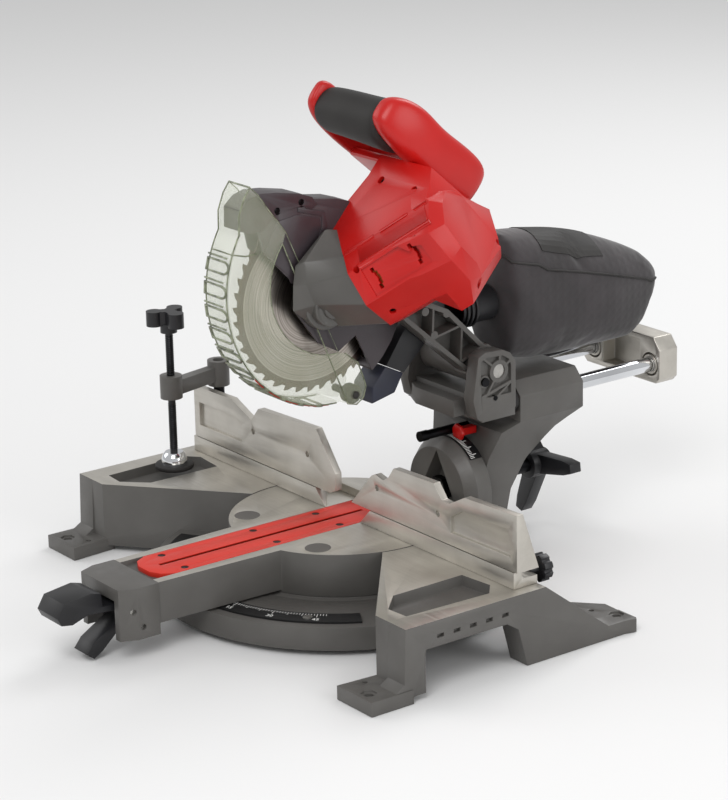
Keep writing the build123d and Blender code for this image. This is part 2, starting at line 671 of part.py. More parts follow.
def clamp_post():
    return bar("Z", -252, 37, 6, 62.5, 168)


def clamp_arm():
    shape = tube("Z", -252, 37, 12, 6.04, 152, 180)
    plan = [(-257, 30), (-245, 30), (-230, -30), (-244, -30)]
    shape += prism(plan, "Z", 158, 174)
    shape += bar("Z", CLAMP_X, CLAMP_Y, 12, 155, 180)
    shape -= bar("Z", CLAMP_X, CLAMP_Y, 4.05, 150, 190)
    return shape - bar("Z", -252, 37, 6.04, 150, 190)


def clamp_screw():
    shape = bar("Z", CLAMP_X, CLAMP_Y, 4, 84, 236)
    shape += bar("Z", CLAMP_X, CLAMP_Y, 9, 228, 238)
    for angle in (0, 120, 240):
        lobe = Pos(15, 0, 0) * Cylinder(8.5, 16) + Pos(7, 0, 0) * Box(16, 12, 16)
        shape += Pos(CLAMP_X, CLAMP_Y, 244) * Rot(0, 0, angle) * lobe
    return shape


def clamp_foot():
    dome = Pos(CLAMP_X, CLAMP_Y, 84) * Sphere(14) & block(-260, -200, -60, 0, 84, 94)
    shape = dome + bar("Z", CLAMP_X, CLAMP_Y, 14, 81, 84)
    return shape - bar("Z", CLAMP_X, CLAMP_Y, 4, 84, 100)


def clamp_pad():
    return bar("Z", CLAMP_X, CLAMP_Y, 21, 76, 81)


def dust_bag():
    side = [(206, 208), (216, 200), (290, 195), (386, 194), (396, 204), (394, 216), (418, 247)]
    side += [(428, 265), (391, 304), (324, 325), (289, 336), (214, 348), (204, 340)]
    return prism(side, "X", -42, 48)


PARTS = {
    "base_casting": base_casting,
    "lower_fence": lower_fence,
    "mitre_scale": mitre_scale,
    "scale_screws": scale_screws,
    "mitre_pivot_bolt": mitre_pivot_bolt,
    "clamp_post": clamp_post,
    "turntable": turntable,
    "table_inlays": table_inlays,
    "kerf_plate": kerf_plate,
    "kerf_screws": kerf_screws,
    "lock_box": lock_box,
    "lever_pins": lever_pins,
    "bevel_trunnion": bevel_trunnion,
    "bevel_scale": bevel_scale,
    "bevel_pivot_bolt": bevel_pivot_bolt,
    "mitre_lock_lever": mitre_lock_lever,
    "detent_lever": detent_lever,
    "detent_plunger": detent_plunger,
    "bevel_arm": bevel_arm,
    "rail_bushes": rail_bushes,
    "bevel_pointer": bevel_pointer,
    "bevel_detent_pin": bevel_detent_pin,
    "bevel_lock_knob": bevel_lock_knob,
    "carriage": carriage,
    "carriage_bolts": carriage_bolts,
    "slide_rails": slide_rails,
    "rail_end_cap": rail_end_cap,
    "rail_bumpers": rail_bumpers,
    "pivot_shaft": pivot_shaft,
    "head_arm": head_arm,
    "return_spring": return_spring,
    "gear_case": gear_case,
    "upper_guard": upper_guard,
    "guard_screws": guard_screws,
    "motor_housing": motor_housing,
    "handle": handle,
    "handle_grip": handle_grip,
    "trigger": trigger,
    "lock_off_button": lock_off_button,
    "motor_stator": motor_stator,
    "rotor": rotor,
    "spindle": spindle,
    "spindle_bearing": spindle_bearing,
    "saw_blade": saw_blade,
    "blade_flanges": blade_flanges,
    "blade_bolt": blade_bolt,
    "lower_guard": lower_guard,
    "guard_roller": guard_roller,
    "dust_chute": dust_chute,
    "dust_boot": dust_boot,
    "dust_port": dust_port,
    "dust_bag": dust_bag,
    "upper_fence_left": lambda: upper_fence(-1),
    "upper_fence_right": lambda: upper_fence(1),
    "fence_knob_left": lambda: fence_knob(-1),
    "fence_knob_right": lambda: fence_knob(1),
    "clamp_arm": clamp_arm,
    "clamp_screw": clamp_screw,
    "clamp_foot": clamp_foot,
    "clamp_pad": clamp_pad,
}

os.makedirs("parts", exist_ok=True)
for name, make in PARTS.items():
    shape = make()
    export_step(shape, f"parts/{name}.step")
print(len(PARTS), "parts")
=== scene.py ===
# %% [markdown]
# A sliding mitre saw is mostly castings, moulded plastic and one big blade.
# The measured model comes in first and never moves. Everything made below is fitted to it,
# in metres, with the floor at zero and the operator standing on the -Y side.

# %% Load the measured model
import json
import math
import bpy
from mathutils import Matrix, Vector


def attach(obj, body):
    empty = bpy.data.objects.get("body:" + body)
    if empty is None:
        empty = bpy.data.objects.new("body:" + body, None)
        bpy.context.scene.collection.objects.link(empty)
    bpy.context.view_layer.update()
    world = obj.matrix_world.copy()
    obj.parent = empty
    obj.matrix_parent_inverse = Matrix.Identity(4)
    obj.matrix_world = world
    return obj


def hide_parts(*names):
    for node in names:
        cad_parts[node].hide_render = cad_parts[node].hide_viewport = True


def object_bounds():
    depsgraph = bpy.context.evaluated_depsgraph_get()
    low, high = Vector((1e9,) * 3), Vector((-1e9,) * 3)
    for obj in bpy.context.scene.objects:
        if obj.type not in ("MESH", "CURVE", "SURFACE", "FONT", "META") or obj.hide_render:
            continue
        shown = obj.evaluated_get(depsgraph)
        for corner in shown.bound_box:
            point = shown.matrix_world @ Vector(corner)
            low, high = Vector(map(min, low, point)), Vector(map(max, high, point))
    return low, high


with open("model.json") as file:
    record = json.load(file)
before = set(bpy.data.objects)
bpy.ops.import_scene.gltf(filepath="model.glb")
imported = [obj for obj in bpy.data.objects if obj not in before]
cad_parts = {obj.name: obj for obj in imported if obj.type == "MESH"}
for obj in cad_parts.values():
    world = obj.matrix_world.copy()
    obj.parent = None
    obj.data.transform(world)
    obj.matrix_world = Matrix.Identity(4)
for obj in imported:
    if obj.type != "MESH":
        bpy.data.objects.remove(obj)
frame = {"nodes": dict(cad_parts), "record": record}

FIRST_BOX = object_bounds()
NODES = frame["nodes"]
JOINTS = {joint["name"]: joint for joint in frame["record"]["behaviour"]["joints"]}
print("loaded", len(NODES), "nodes, from", FIRST_BOX[0], "to", FIRST_BOX[1])

# %% [markdown]
# The head was drawn level, as it is in the cut, and is then lifted about the chop pivot.
# The same turn is kept as a matrix, so head pieces can be drawn level and in millimetres.
# A second matrix stands on the motor's tilted shaft: first value out from the shaft and
# down, second to the back, third along the shaft away from the blade.

# %% Matrices for level head and motor
MM = 0.001
MILLI = Matrix.Scale(MM, 4)
CHOP = Vector(JOINTS["chop"]["pos_m"])
LIFT = math.radians(JOINTS["chop"]["range_deg"][1])
RAISE = Matrix.Translation(CHOP) @ Matrix.Rotation(-LIFT, 4, "X") @ Matrix.Translation(-CHOP) @ MILLI
SHAFT = Vector(JOINTS["motor_spin"]["axis"]).normalized()
BACK = Matrix.Rotation(-LIFT, 3, "X") @ Vector((0, 1, 0))
OUT = BACK.cross(SHAFT).normalized()
MOTOR_AXES = Matrix((OUT, BACK, SHAFT)).transposed().to_4x4()
MOTOR = Matrix.Translation(JOINTS["motor_spin"]["pos_m"]) @ MOTOR_AXES @ MILLI
print("shaft", SHAFT, "out", OUT)
# %% [markdown]
# The saw is seen from its right front, a little from above, with a long lens, so that its
# lines stay nearly parallel. The camera is a position, a turn and a focal length; a small
# shift sets the saw a little off the middle of the view.

# %% Camera
AZIMUTH, ELEVATION, ROLL = map(math.radians, (53.384, 17.535, -1.18))
TARGET = Vector((21.9, 45.4, 197.2)) * MM
DISTANCE = 2809.8 * MM
backward = Vector((math.sin(AZIMUTH) * math.cos(ELEVATION), -math.cos(AZIMUTH) * math.cos(ELEVATION),
                   math.sin(ELEVATION)))
right = Vector((math.cos(AZIMUTH), math.sin(AZIMUTH), 0))
up = backward.cross(right)
rolled_right = math.cos(ROLL) * right + math.sin(ROLL) * up
rolled_up = math.cos(ROLL) * up - math.sin(ROLL) * right
camera = bpy.data.objects.new("camera", bpy.data.cameras.new("camera"))
bpy.context.collection.objects.link(camera)
camera.matrix_world = (Matrix.Translation(TARGET + backward * DISTANCE)
                       @ Matrix((rolled_right, rolled_up, backward)).transposed().to_4x4())
camera.data.sensor_width = 36
camera.data.lens = 124.8
camera.data.shift_x = -0.0139
camera.data.shift_y = 0.0009
camera.data.clip_end = 50
bpy.context.scene.camera = camera
print("camera at", camera.location)

# %% [markdown]
# Product pictures use big soft lamps: one high in front for the shape, one from the side
# as a fill, one behind to draw a bright line along the edges, and a pale world behind it all.

# %% Floor, lamps and world
def lamp(name, place, aim, size, power):
    data = bpy.data.lights.new(name, "AREA")
    data.energy = power
    data.size = size
    made = bpy.data.objects.new(name, data)
    bpy.context.collection.objects.link(made)
    made.location = place
    made.rotation_euler = (Vector(aim) - Vector(place)).to_track_quat("-Z", "Y").to_euler()
    print("lamp", name, power, "W")


lamp("key", (1.6, -1.9, 2.6), (0, 0, 0.2), 1.6, 44)
lamp("left_fill", (-2.4, -1.6, 1.7), (0, 0, 0.2), 1.8, 16)
lamp("right_fill", (2.6, 0.7, 1.2), (0, 0, 0.2), 1.4, 17)
lamp("top_back", (-0.6, 2.2, 2.4), (0, 0, 0.25), 1.6, 34)
world = bpy.data.worlds.new("pale_studio")
bpy.context.scene.world = world
world.use_nodes = True
world.node_tree.nodes["Background"].inputs["Color"].default_value = (1, 1, 1, 1)
world.node_tree.nodes["Background"].inputs["Strength"].default_value = 0.6
bpy.context.scene.view_settings.view_transform = "Standard"
bpy.ops.mesh.primitive_plane_add(size=30, location=(0, 0, FIRST_BOX[0].z - 0.0005))
floor = bpy.context.object
floor.name = "studio_floor"
# %% [markdown]
# Every finish below is made of nodes only. Colours are written as they look on a screen and
# turned to linear light by one function. Patterns read Object coordinates in metres, so a
# pattern of p millimetres has a scale of 1000 / p.

# %% Helpers for materials
def linear(code):
    """Screen colour such as "#c0392b" as the linear colour that the shader needs."""
    parts = [int(code[i:i + 2], 16) / 255 for i in (1, 3, 5)]
    return [p / 12.92 if p <= 0.04045 else ((p + 0.055) / 1.055) ** 2.4 for p in parts] + [1]


def per_mm(size):
    """Scale of a pattern whose repeat is size millimetres."""
    return 1000 / size


def add(tree, kind, settings=None, links=None):
    """A node of this kind, with its settings, its number inputs and its links."""
    node = tree.nodes.new("ShaderNode" + kind)
    for key, value in (settings or {}).items():
        if isinstance(key, int) or key in node.inputs:
            node.inputs[key].default_value = value
        else:
            setattr(node, key, value)
    for key, socket in (links or {}).items():
        tree.links.new(socket, node.inputs[key])
    return node


def finish_of(name, colour, **shader):
    """A new material and its shader, with plain values set on the shader's own sockets."""
    made = bpy.data.materials.new(name)
    made.use_nodes = True
    principled = made.node_tree.nodes["Principled BSDF"]
    principled.inputs["Base Color"].default_value = linear(colour)
    for key, value in shader.items():
        principled.inputs[key.replace("_", " ")].default_value = value
    return made, made.node_tree, principled


def mottled(tree, principled, dark, light, size, detail=3.0, low=0.35, high=0.65):
    """Base colour that drifts between two shades over patches of about size millimetres."""
    place = add(tree, "TexCoord")
    noise = add(tree, "TexNoise", {"Scale": per_mm(size), "Detail": detail},
                {"Vector": place.outputs["Object"]})
    ramp = add(tree, "ValToRGB", links={"Fac": noise.outputs["Fac"]})
    ramp.color_ramp.elements[0].position = low
    ramp.color_ramp.elements[0].color = linear(dark)
    ramp.color_ramp.elements[1].position = high
    ramp.color_ramp.elements[1].color = linear(light)
    tree.links.new(ramp.outputs["Color"], principled.inputs["Base Color"])
    return place, ramp


def grain(tree, principled, place, size, depth, stretch=(1, 1, 1), detail=2.0):
    """Fine bumps of size millimetres and depth millimetres, stretched along an axis if asked."""
    mapping = add(tree, "Mapping", {"Scale": stretch}, {"Vector": place.outputs["Object"]})
    noise = add(tree, "TexNoise", {"Scale": per_mm(size), "Detail": detail},
                {"Vector": mapping.outputs["Vector"]})
    bump = add(tree, "Bump", {"Distance": depth * MM, "Strength": 1.0}, {"Height": noise.outputs["Fac"]})
    tree.links.new(bump.outputs["Normal"], principled.inputs["Normal"])
    return noise


def rough_patches(tree, principled, place, size, smooth, rough, stretch=(1, 1, 1)):
    """Roughness that wanders between two values over patches of size millimetres."""
    mapping = add(tree, "Mapping", {"Scale": stretch}, {"Vector": place.outputs["Object"]})
    noise = add(tree, "TexNoise", {"Scale": per_mm(size), "Detail": 3.0},
                {"Vector": mapping.outputs["Vector"]})
    spread = add(tree, "MapRange", {"From Min": 0.3, "From Max": 0.7, "To Min": smooth, "To Max": rough},
                 {"Value": noise.outputs["Fac"]})
    tree.links.new(spread.outputs["Result"], principled.inputs["Roughness"])

# %% [markdown]
# Die-cast aluminium under grey powder paint: the paint leaves a fine orange peel, about
# 1.5 mm from crest to crest, and a satin gloss that changes a little from patch to patch.

# %% Grey powder paint
def powder_paint(name, dark, light, roughness):
    made, tree, principled = finish_of(name, light, Roughness=roughness, Metallic=0.0, IOR=1.5)
    place, ramp = mottled(tree, principled, dark, light, 45)
    grain(tree, principled, place, 1.5, 0.05)
    rough_patches(tree, principled, place, 20, roughness - 0.06, roughness + 0.07)
    return made


grey_paint = powder_paint("powder_paint_warm_grey", "#53514e", "#595754", 0.42)
head_paint = powder_paint("powder_paint_head_grey", "#504e4b", "#575552", 0.34)
guard_paint = powder_paint("powder_paint_upper_guard", "#383135", "#3e373b", 0.36)
print("paint done")

# %% [markdown]
# Table tops and fence faces are milled bare aluminium. Milling leaves long fine lines along
# the cutter's way, so one noise is stretched along X for the colour, bump and gloss.

# %% Milled aluminium
def milled(name, dark, light, roughness, stretch):
    made, tree, principled = finish_of(name, light, Roughness=roughness, Metallic=0.85)
    place, ramp = mottled(tree, principled, dark, light, 26, 5.0, 0.3, 0.7)
    grain(tree, principled, place, 1.2, 0.02, stretch, 3.0)
    rough_patches(tree, principled, place, 3.0, roughness - 0.08, roughness + 0.1, stretch)
    return made


ALONG_X = (0.03, 1, 1)
milled_aluminium = milled("milled_aluminium", "#bab6ae", "#c6c2ba", 0.38, ALONG_X)
print("milled done")

# %% [markdown]
# Moulded parts: red and black polyamide with a fine spark texture from the mould, rubber with
# a duller and deeper one. The red is a strong, slightly glossy one.

# %% Moulded plastics and rubber
def moulded(name, dark, light, roughness, size, depth):
    made, tree, principled = finish_of(name, light, Roughness=roughness, IOR=1.46)
    place, ramp = mottled(tree, principled, dark, light, 60, 2.0)
    grain(tree, principled, place, size, depth)
    return made


red_shell = moulded("moulded_red_polyamide", "#b5100c", "#be130f", 0.33, 0.9, 0.02)
kerf_red = moulded("moulded_red_kerf_insert", "#c92a1b", "#d13021", 0.42, 0.8, 0.03)
black_plastic = moulded("moulded_black_polyamide", "#161618", "#1f1f22", 0.4, 0.9, 0.03)
black_rubber = moulded("moulded_black_rubber", "#1d1b1a", "#282624", 0.6, 1.1, 0.06)
boot_rubber = moulded("flexible_blue_grey_rubber", "#22242f", "#2d3040", 0.5, 1.2, 0.05)
inlay_grey = moulded("moulded_grey_plug", "#55524f", "#5f5c58", 0.5, 0.9, 0.03)
print("moulded done")

# %% [markdown]
# Metals left bare: chromed rails, turned steel, blackened screws and the blade. They keep
# the shader's own refraction value, since metal doesn't use it.

# %% Bare and plated metals
def bare_metal(name, dark, light, roughness, size=8, stretch=(1, 1, 1)):
    made, tree, principled = finish_of(name, light, Roughness=roughness, Metallic=1.0)
    place, ramp = mottled(tree, principled, dark, light, size * 3, 3.0)
    rough_patches(tree, principled, place, size, roughness * 0.75, roughness * 1.35, stretch)
    return made


chrome = bare_metal("hard_chrome", "#c9cbcf", "#dfe1e4", 0.09, 30, (1, 0.05, 1))
steel = bare_metal("turned_steel", "#a3a19d", "#bab8b3", 0.28)
black_steel = bare_metal("blackened_steel", "#1a1a1b", "#29292b", 0.36)
copper = bare_metal("enamelled_copper", "#8a4a25", "#a85f33", 0.35)
black_scale = moulded("black_anodised_scale", "#101011", "#171718", 0.38, 0.8, 0.01)
white_ink, _, _ = finish_of("white_printed_ink", "#e9e9e6", Roughness=0.5)
print("metals done")

# %% [markdown]
# The saw blade's body is ground in rings round its bore, and its outer band carries a dark
# anti-stick coating. Distance from the bore drives both: rings 0.8 mm apart and one step in
# colour at the edge of the coating.

# %% Saw blade finish
def ring_distance(tree, centre, axis_scale):
    """Distance from a shaft, in metres, that runs along X through centre."""
    place = add(tree, "TexCoord")
    moved = add(tree, "VectorMath", {"operation": "SUBTRACT"}, {0: place.outputs["Object"]})
    moved.inputs[1].default_value = centre
    flat = add(tree, "VectorMath", {"operation": "MULTIPLY"}, {0: moved.outputs["Vector"]})
    flat.inputs[1].default_value = axis_scale
    return add(tree, "VectorMath", {"operation": "LENGTH"}, {0: flat.outputs["Vector"]}), place


BLADE_CENTRE = Vector(JOINTS["blade_spin"]["pos_m"])
blade_steel, tree, principled = finish_of("ground_blade_steel", "#a9a39b", Metallic=1.0, Roughness=0.3)
distance, place = ring_distance(tree, BLADE_CENTRE, (0, 1, 1))
rings = add(tree, "TexNoise", {"noise_dimensions": "1D", "Scale": 1.0, "Detail": 4.0})
scaled = add(tree, "Math", {"operation": "MULTIPLY", 1: per_mm(1.6)}, {0: distance.outputs["Value"]})
tree.links.new(scaled.outputs["Value"], rings.inputs["W"])
shade = add(tree, "ValToRGB", links={"Fac": rings.outputs["Fac"]})
shade.color_ramp.elements[0].position = 0.3
shade.color_ramp.elements[0].color = linear("#857d77")
shade.color_ramp.elements[1].position = 0.7
shade.color_ramp.elements[1].color = linear("#b3aca4")
coat = add(tree, "MapRange", {"From Min": 0.0832, "From Max": 0.0838}, {"Value": distance.outputs["Value"]})
colour = add(tree, "Mix", {"data_type": "RGBA", 7: linear("#5d4e4a")},
             {0: coat.outputs["Result"], 6: shade.outputs["Color"]})
tree.links.new(colour.outputs[2], principled.inputs["Base Color"])
bump = add(tree, "Bump", {"Distance": 0.01 * MM}, {"Height": rings.outputs["Fac"]})
tree.links.new(bump.outputs["Normal"], principled.inputs["Normal"])
print("blade finish done")

# %% [markdown]
# The lower guard is clear polycarbonate with a faint green cast, under 3 mm thick. So thin a
# wall hardly bends light, so it is a glossy surface that covers only a part of what is behind.

# %% Clear polycarbonate
clear_plastic, tree, principled = finish_of(
    "clear_polycarbonate", "#dfe3cf", Roughness=0.08, IOR=1.5, Alpha=0.16)
place, ramp = mottled(tree, principled, "#c3c9ab", "#d9dec6", 40)
grain(tree, principled, place, 14, 0.15)
print("polycarbonate done")

# %% [markdown]
# The dust bag is sewn from charcoal polyester. The weave is two crossed waves 1.6 mm apart,
# coarser than real threads so that it shows, with a soft sheen where the nap catches light.

# %% Bag cloth
bag_cloth, tree, principled = finish_of("woven_charcoal_polyester", "#373335", Roughness=0.82)
principled.inputs["Sheen Weight"].default_value = 0.35
principled.inputs["Sheen Roughness"].default_value = 0.45
place, ramp = mottled(tree, principled, "#2a2728", "#393537", 50)
warp = add(tree, "TexWave", {"bands_direction": "Y", "Scale": per_mm(1.6) / 20, "Distortion": 0.4},
           {"Vector": place.outputs["Object"]})
weft = add(tree, "TexWave", {"bands_direction": "Z", "Scale": per_mm(1.6) / 20, "Distortion": 0.4},
           {"Vector": place.outputs["Object"]})
woven = add(tree, "Math", {"operation": "MAXIMUM"}, {0: warp.outputs["Fac"], 1: weft.outputs["Fac"]})
bump = add(tree, "Bump", {"Distance": 0.25 * MM, "Strength": 0.7}, {"Height": woven.outputs["Value"]})
tree.links.new(bump.outputs["Normal"], principled.inputs["Normal"])
print("cloth done")

# %% [markdown]
# Each measured node keeps its shape and takes the finish of the real part. Steel, rubber and
# plastic follow the record's own slots, and single nodes are then named where they differ.

# %% Finishes of the measured nodes
BY_SLOT = {
    "cast_grey": grey_paint, "machined": milled_aluminium, "dark_plastic": black_plastic,
    "black_rubber": black_rubber, "red_plastic": red_shell, "kerf_red": kerf_red, "chrome": chrome,
    "steel": steel, "black_steel": black_steel, "clear": clear_plastic, "scale_black": black_scale,
    "fabric": bag_cloth, "boot_blue": boot_rubber, "copper": copper, "inlay_grey": inlay_grey,
}
BY_NODE = {"upper_guard": guard_paint, "gear_case": head_paint, "head_arm": head_paint,
           "saw_blade": blade_steel, "rail_end_cap": milled_aluminium}
SLOT_OF = {part["node"]: part["material_slot"] for part in frame["record"]["subparts"]}


def finish_for(node):
    return BY_NODE.get(node, BY_SLOT[SLOT_OF[node]])


for name, node in NODES.items():
    node.data.materials.clear()
    node.data.materials.append(finish_for(name))
print("finished", len(NODES), "nodes")
# %% [markdown]
# Castings and mouldings have no sharp edges: paint runs thin over them and they catch a thin
# bright line. A copy of a measured node is welded, its flat faces are joined up, and a bevel
# modifier rounds every edge sharper than the angle given. The copy then stands for the node.

# %% Rounded copies of measured nodes
def only(piece):
    """Selects this piece alone and makes it active."""
    bpy.ops.object.select_all(action="DESELECT")
    piece.select_set(True)
    bpy.context.view_layer.objects.active = piece


def apply_modifiers(piece):
    only(piece)
    for modifier in list(piece.modifiers):
        bpy.ops.object.modifier_apply(modifier=modifier.name)


def bevelled(piece, width, segments=2, angle=28):
    """Rounds the sharp edges; width is in the piece's own units at this point."""
    modifier = piece.modifiers.new("edges", "BEVEL")
    modifier.width = width
    modifier.segments = segments
    modifier.limit_method = "ANGLE"
    modifier.angle_limit = math.radians(angle)
    modifier.use_clamp_overlap = True
    modifier.miter_outer = "MITER_ARC"
    apply_modifiers(piece)
    only(piece)
    bpy.ops.object.shade_smooth_by_angle(angle=math.radians(40))


BODY_OF = {node: body for body, nodes in frame["record"]["behaviour"]["bodies"].items() for node in nodes}


def rounded_copy(node, width, segments=2, angle=28):
    """A copy of a measured node with its edges rounded, riding where the node rides."""
    piece = NODES[node].copy()
    piece.data = NODES[node].data.copy()
    for key in list(piece.keys()):
        del piece[key]
    piece.name = node + "_rounded"
    piece.parent = None
    bpy.context.collection.objects.link(piece)
    only(piece)
    bpy.ops.object.mode_set(mode="EDIT")
    bpy.ops.mesh.select_all(action="SELECT")
    bpy.ops.mesh.remove_doubles(threshold=0.00002)
    bpy.ops.mesh.dissolve_limited(angle_limit=math.radians(0.6))
    bpy.ops.object.mode_set(mode="OBJECT")
    bevelled(piece, width * MM, segments, angle)
    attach(piece, BODY_OF[node])
    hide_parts(node)
    print(piece.name, len(piece.data.polygons), "faces")
    return piece


EDGE_WIDTHS = {
    "base_casting": 2.2, "lower_fence": 0.8, "upper_fence_left": 0.8, "upper_fence_right": 0.8,
    "turntable": 1.0, "lock_box": 1.6, "kerf_plate": 0.5, "mitre_lock_lever": 3.0, "detent_lever": 2.0,
    "bevel_trunnion": 1.2, "bevel_arm": 1.8, "bevel_lock_knob": 3.0, "carriage": 0.9, "rail_end_cap": 1.5,
    "head_arm": 0.5, "clamp_arm": 1.6, "clamp_pad": 1.2, "fence_knob_left": 0.8,
    "fence_knob_right": 0.8, "dust_boot": 1.2, "dust_chute": 1.5, "dust_port": 0.6, "bevel_pointer": 0.6,
    "guard_roller": 1.2, "upper_guard": 1.0,
}
for node, width in EDGE_WIDTHS.items():
    rounded_copy(node, width)
# %% [markdown]
# New pieces start as a primitive and are shaped in edit mode. A loft is a stack of outlines:
# a flat ring is extruded once for each outline, and every ring is then moved to its place.
# The two ends are closed, the normals are made to point outwards, and the piece is moved
# from its millimetre drawing to its place on the saw.

# %% Lofts
def loft(name, outlines):
    """Closed solid through outlines of equal length, each a list of (x, y, z)."""
    count = len(outlines[0])
    bpy.ops.mesh.primitive_circle_add(vertices=count, radius=1.0, fill_type="NGON")
    piece = bpy.context.object
    piece.name = name
    bpy.ops.object.mode_set(mode="EDIT")
    bpy.ops.mesh.select_all(action="SELECT")
    for _ in outlines[1:]:
        bpy.ops.mesh.extrude_region_move(TRANSFORM_OT_translate={"value": (0, 0, 1)})
    bpy.ops.object.mode_set(mode="OBJECT")
    for vertex in piece.data.vertices:
        layer = round(vertex.co.z)
        around = round(math.atan2(vertex.co.y, vertex.co.x) / (2 * math.pi) * count) % count
        vertex.co = Vector(outlines[layer][around])
    only(piece)
    bpy.ops.object.mode_set(mode="EDIT")
    bpy.ops.mesh.select_all(action="SELECT")
    bpy.ops.mesh.normals_make_consistent(inside=False)
    bpy.ops.object.mode_set(mode="OBJECT")
    return piece


def slab(name, outline, low, high, axis="x"):
    """Flat shape of one outline between two planes across an axis."""
    orders = {"x": lambda a, b, c: (c, a, b), "y": lambda a, b, c: (a, c, b), "z": lambda a, b, c: (a, b, c)}
    place = orders[axis]
    return loft(name, [[place(a, b, level) for a, b in outline] for level in (low, high)])


def cut(piece, cutter):
    """Takes one closed shape out of another and throws the cutter away."""
    modifier = piece.modifiers.new("cut", "BOOLEAN")
    modifier.operation = "DIFFERENCE"
    modifier.solver = "EXACT"
    modifier.object = cutter
    apply_modifiers(piece)
    bpy.data.objects.remove(cutter)


def rod(name, radius, depth, middle, turn=(0, 0, 0), sides=24):
    """Short straight bar, round or with as many sides as asked."""
    bpy.ops.mesh.primitive_cylinder_add(
        vertices=sides, radius=radius, depth=depth, location=middle, rotation=turn)
    piece = bpy.context.object
    piece.name = name
    bpy.ops.object.transform_apply(location=True, rotation=True, scale=True)
    return piece


def join(name, pieces):
    """One object from several, named name."""
    bpy.ops.object.select_all(action="DESELECT")
    for piece in pieces:
        piece.select_set(True)
    bpy.context.view_layer.objects.active = pieces[0]
    bpy.ops.object.join()
    pieces[0].name = name
    return pieces[0]


def settle(piece, matrix, body, finish, slot, *nodes):
    """Moves the drawing to its place and hands the piece to its body."""
    piece.data.transform(matrix)
    piece.data.materials.clear()
    piece.data.materials.append(finish)
    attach(piece, body)
    if nodes:
        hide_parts(*nodes)
    print(piece.name, len(piece.data.polygons), "faces on", body)
    return piece

# %% [markdown]
# The motor housing is one red moulding round the tilted motor: an eight-sided barrel with a
# flat front, a flared back corner, and a domed end cap away from the blade. Seen along the
# shaft it is one outline that grows from the split line with the gear case to the end cap.
# Values below are out, back and along the shaft, in millimetres.

# %% Motor housing barrel
BARREL = [
    [(-50, -45, 24), (-8, -45, 34), (18, -45, 36), (44, -20, 36), (44, 18, 36), (18, 44, 36), (-20, 44, 36),
     (-44, 20, 36), (-52, -20, 26)],
    [(-52, -45, 88), (-8, -45, 88), (20, -45, 88), (44, -20, 88), (44, 18, 88), (20, 44, 88), (-20, 50, 88),
     (-60, 40, 88), (-60, -20, 88)],
    [(-44, -45, 108), (-8, -45, 104), (24, -45, 104), (45, -16, 104), (46, 20, 104), (50, 46, 102),
    (-18, 64, 104),
     (-66, 54, 108), (-62, 0, 108)],
    [(-34, -45, 128), (-8, -45.5, 140), (29, -43, 132), (45, -12, 134), (46, 22, 131), (51, 45, 117),
    (-20, 77, 139),
     (-72, 59, 144), (-44, -10, 148)],
    [(-28, -27, 149), (-6, -36, 149), (20, -34, 146), (33, -10, 146), (34, 18, 144), (34, 34, 138),
    (-16, 62, 149),
     (-60, 50, 151), (-36, -4, 153)],
]
barrel = loft("motor_housing_shell", BARREL)
print("barrel drawn")

# %% [markdown]
# The shell's front carries two raised lengthwise ribs and, on its slanted face, a sunk panel
# with two curved air slots. Sunk screw wells show where the two halves are held together.

# %% Ribs, panel, slots and screw wells
def along(name, outline, low, high):
    """Shape drawn across the shaft, from low to high along it."""
    return loft(name, [[(out, back, level) for out, back in outline] for level in (low, high)])


def on_slant(middle_out, middle_back, middle_along, size, depth, name="well"):
    """Block on the slanted front face of the barrel, whose normal is 45 degrees down and front."""
    half_wide, half_long = size[0] / 2, size[1] / 2
    outline = [(-half_wide, -depth), (half_wide, -depth), (half_wide, depth), (-half_wide, depth)]
    piece = along(name, outline, -half_long, half_long)
    place = Matrix.Translation((middle_out, middle_back, middle_along))
    piece.data.transform(place @ Matrix.Rotation(math.radians(45), 4, "Z"))
    return piece


cut(barrel, on_slant(31.5, -32.2, 84, (30, 68), 2.2, "sunk_panel"))
SLOT_BARS = 5
for slot_along in (60, 108):
    for bar in range(SLOT_BARS):
        swing = (bar - (SLOT_BARS - 1) / 2) / SLOT_BARS
        side = swing * 22
        bow = 4.0 - 16 * swing * swing
        cut(barrel, on_slant(31.5 + side * 0.7071, -32.2 + side * 0.7071, slot_along - 2 + bow, (4.9, 4.0),
        9, "slot"))
SHELL_WELLS = [(-8, -45, 76), (-8, -45, 118), (18, -40, 46), (36, 4, 50)]
for out, back, level in SHELL_WELLS:
    turn = (math.radians(90), 0, 0) if back < -30 else (0, math.radians(90), 0)
    cut(barrel, rod("well", 3.6, 18, (out, back, level), turn, 20))
for out, back, level in ((-22, 60, 145), (38, 38, 128)):
    cut(barrel, rod("well", 4.2, 22, (out, back, level), (0, 0, 0), 20))
bevelled(barrel, 1.6, 3, 24)
RIB = [(-10, -46.4), (-7, -46.4), (-6, -44), (-11, -44)]
ribs = [along("rib", RIB, 36, 72), along("rib", RIB, 80, 114), along("rib", RIB, 122, 138)]
ribs.append(along("rib", [(15.5, -46.4), (18.5, -46.4), (20, -44), (14.5, -44)], 50, 137))
shelf = [(-9, -45.8), (17, -45.8), (17, -44), (-9, -44)]
ribs.append(along("shelf", shelf, 52, 134))
barrel = join("motor_housing_shell", [barrel] + ribs)
bevelled(barrel, 0.5, 2, 50)
settle(barrel, MOTOR, "head", red_shell, "red_plastic", "motor_housing")

# %% [markdown]
# Above the barrel a neck joins the motor to the handle. Its front is flat and shares the
# barrel's front plane; two screws hold the two mouldings together.

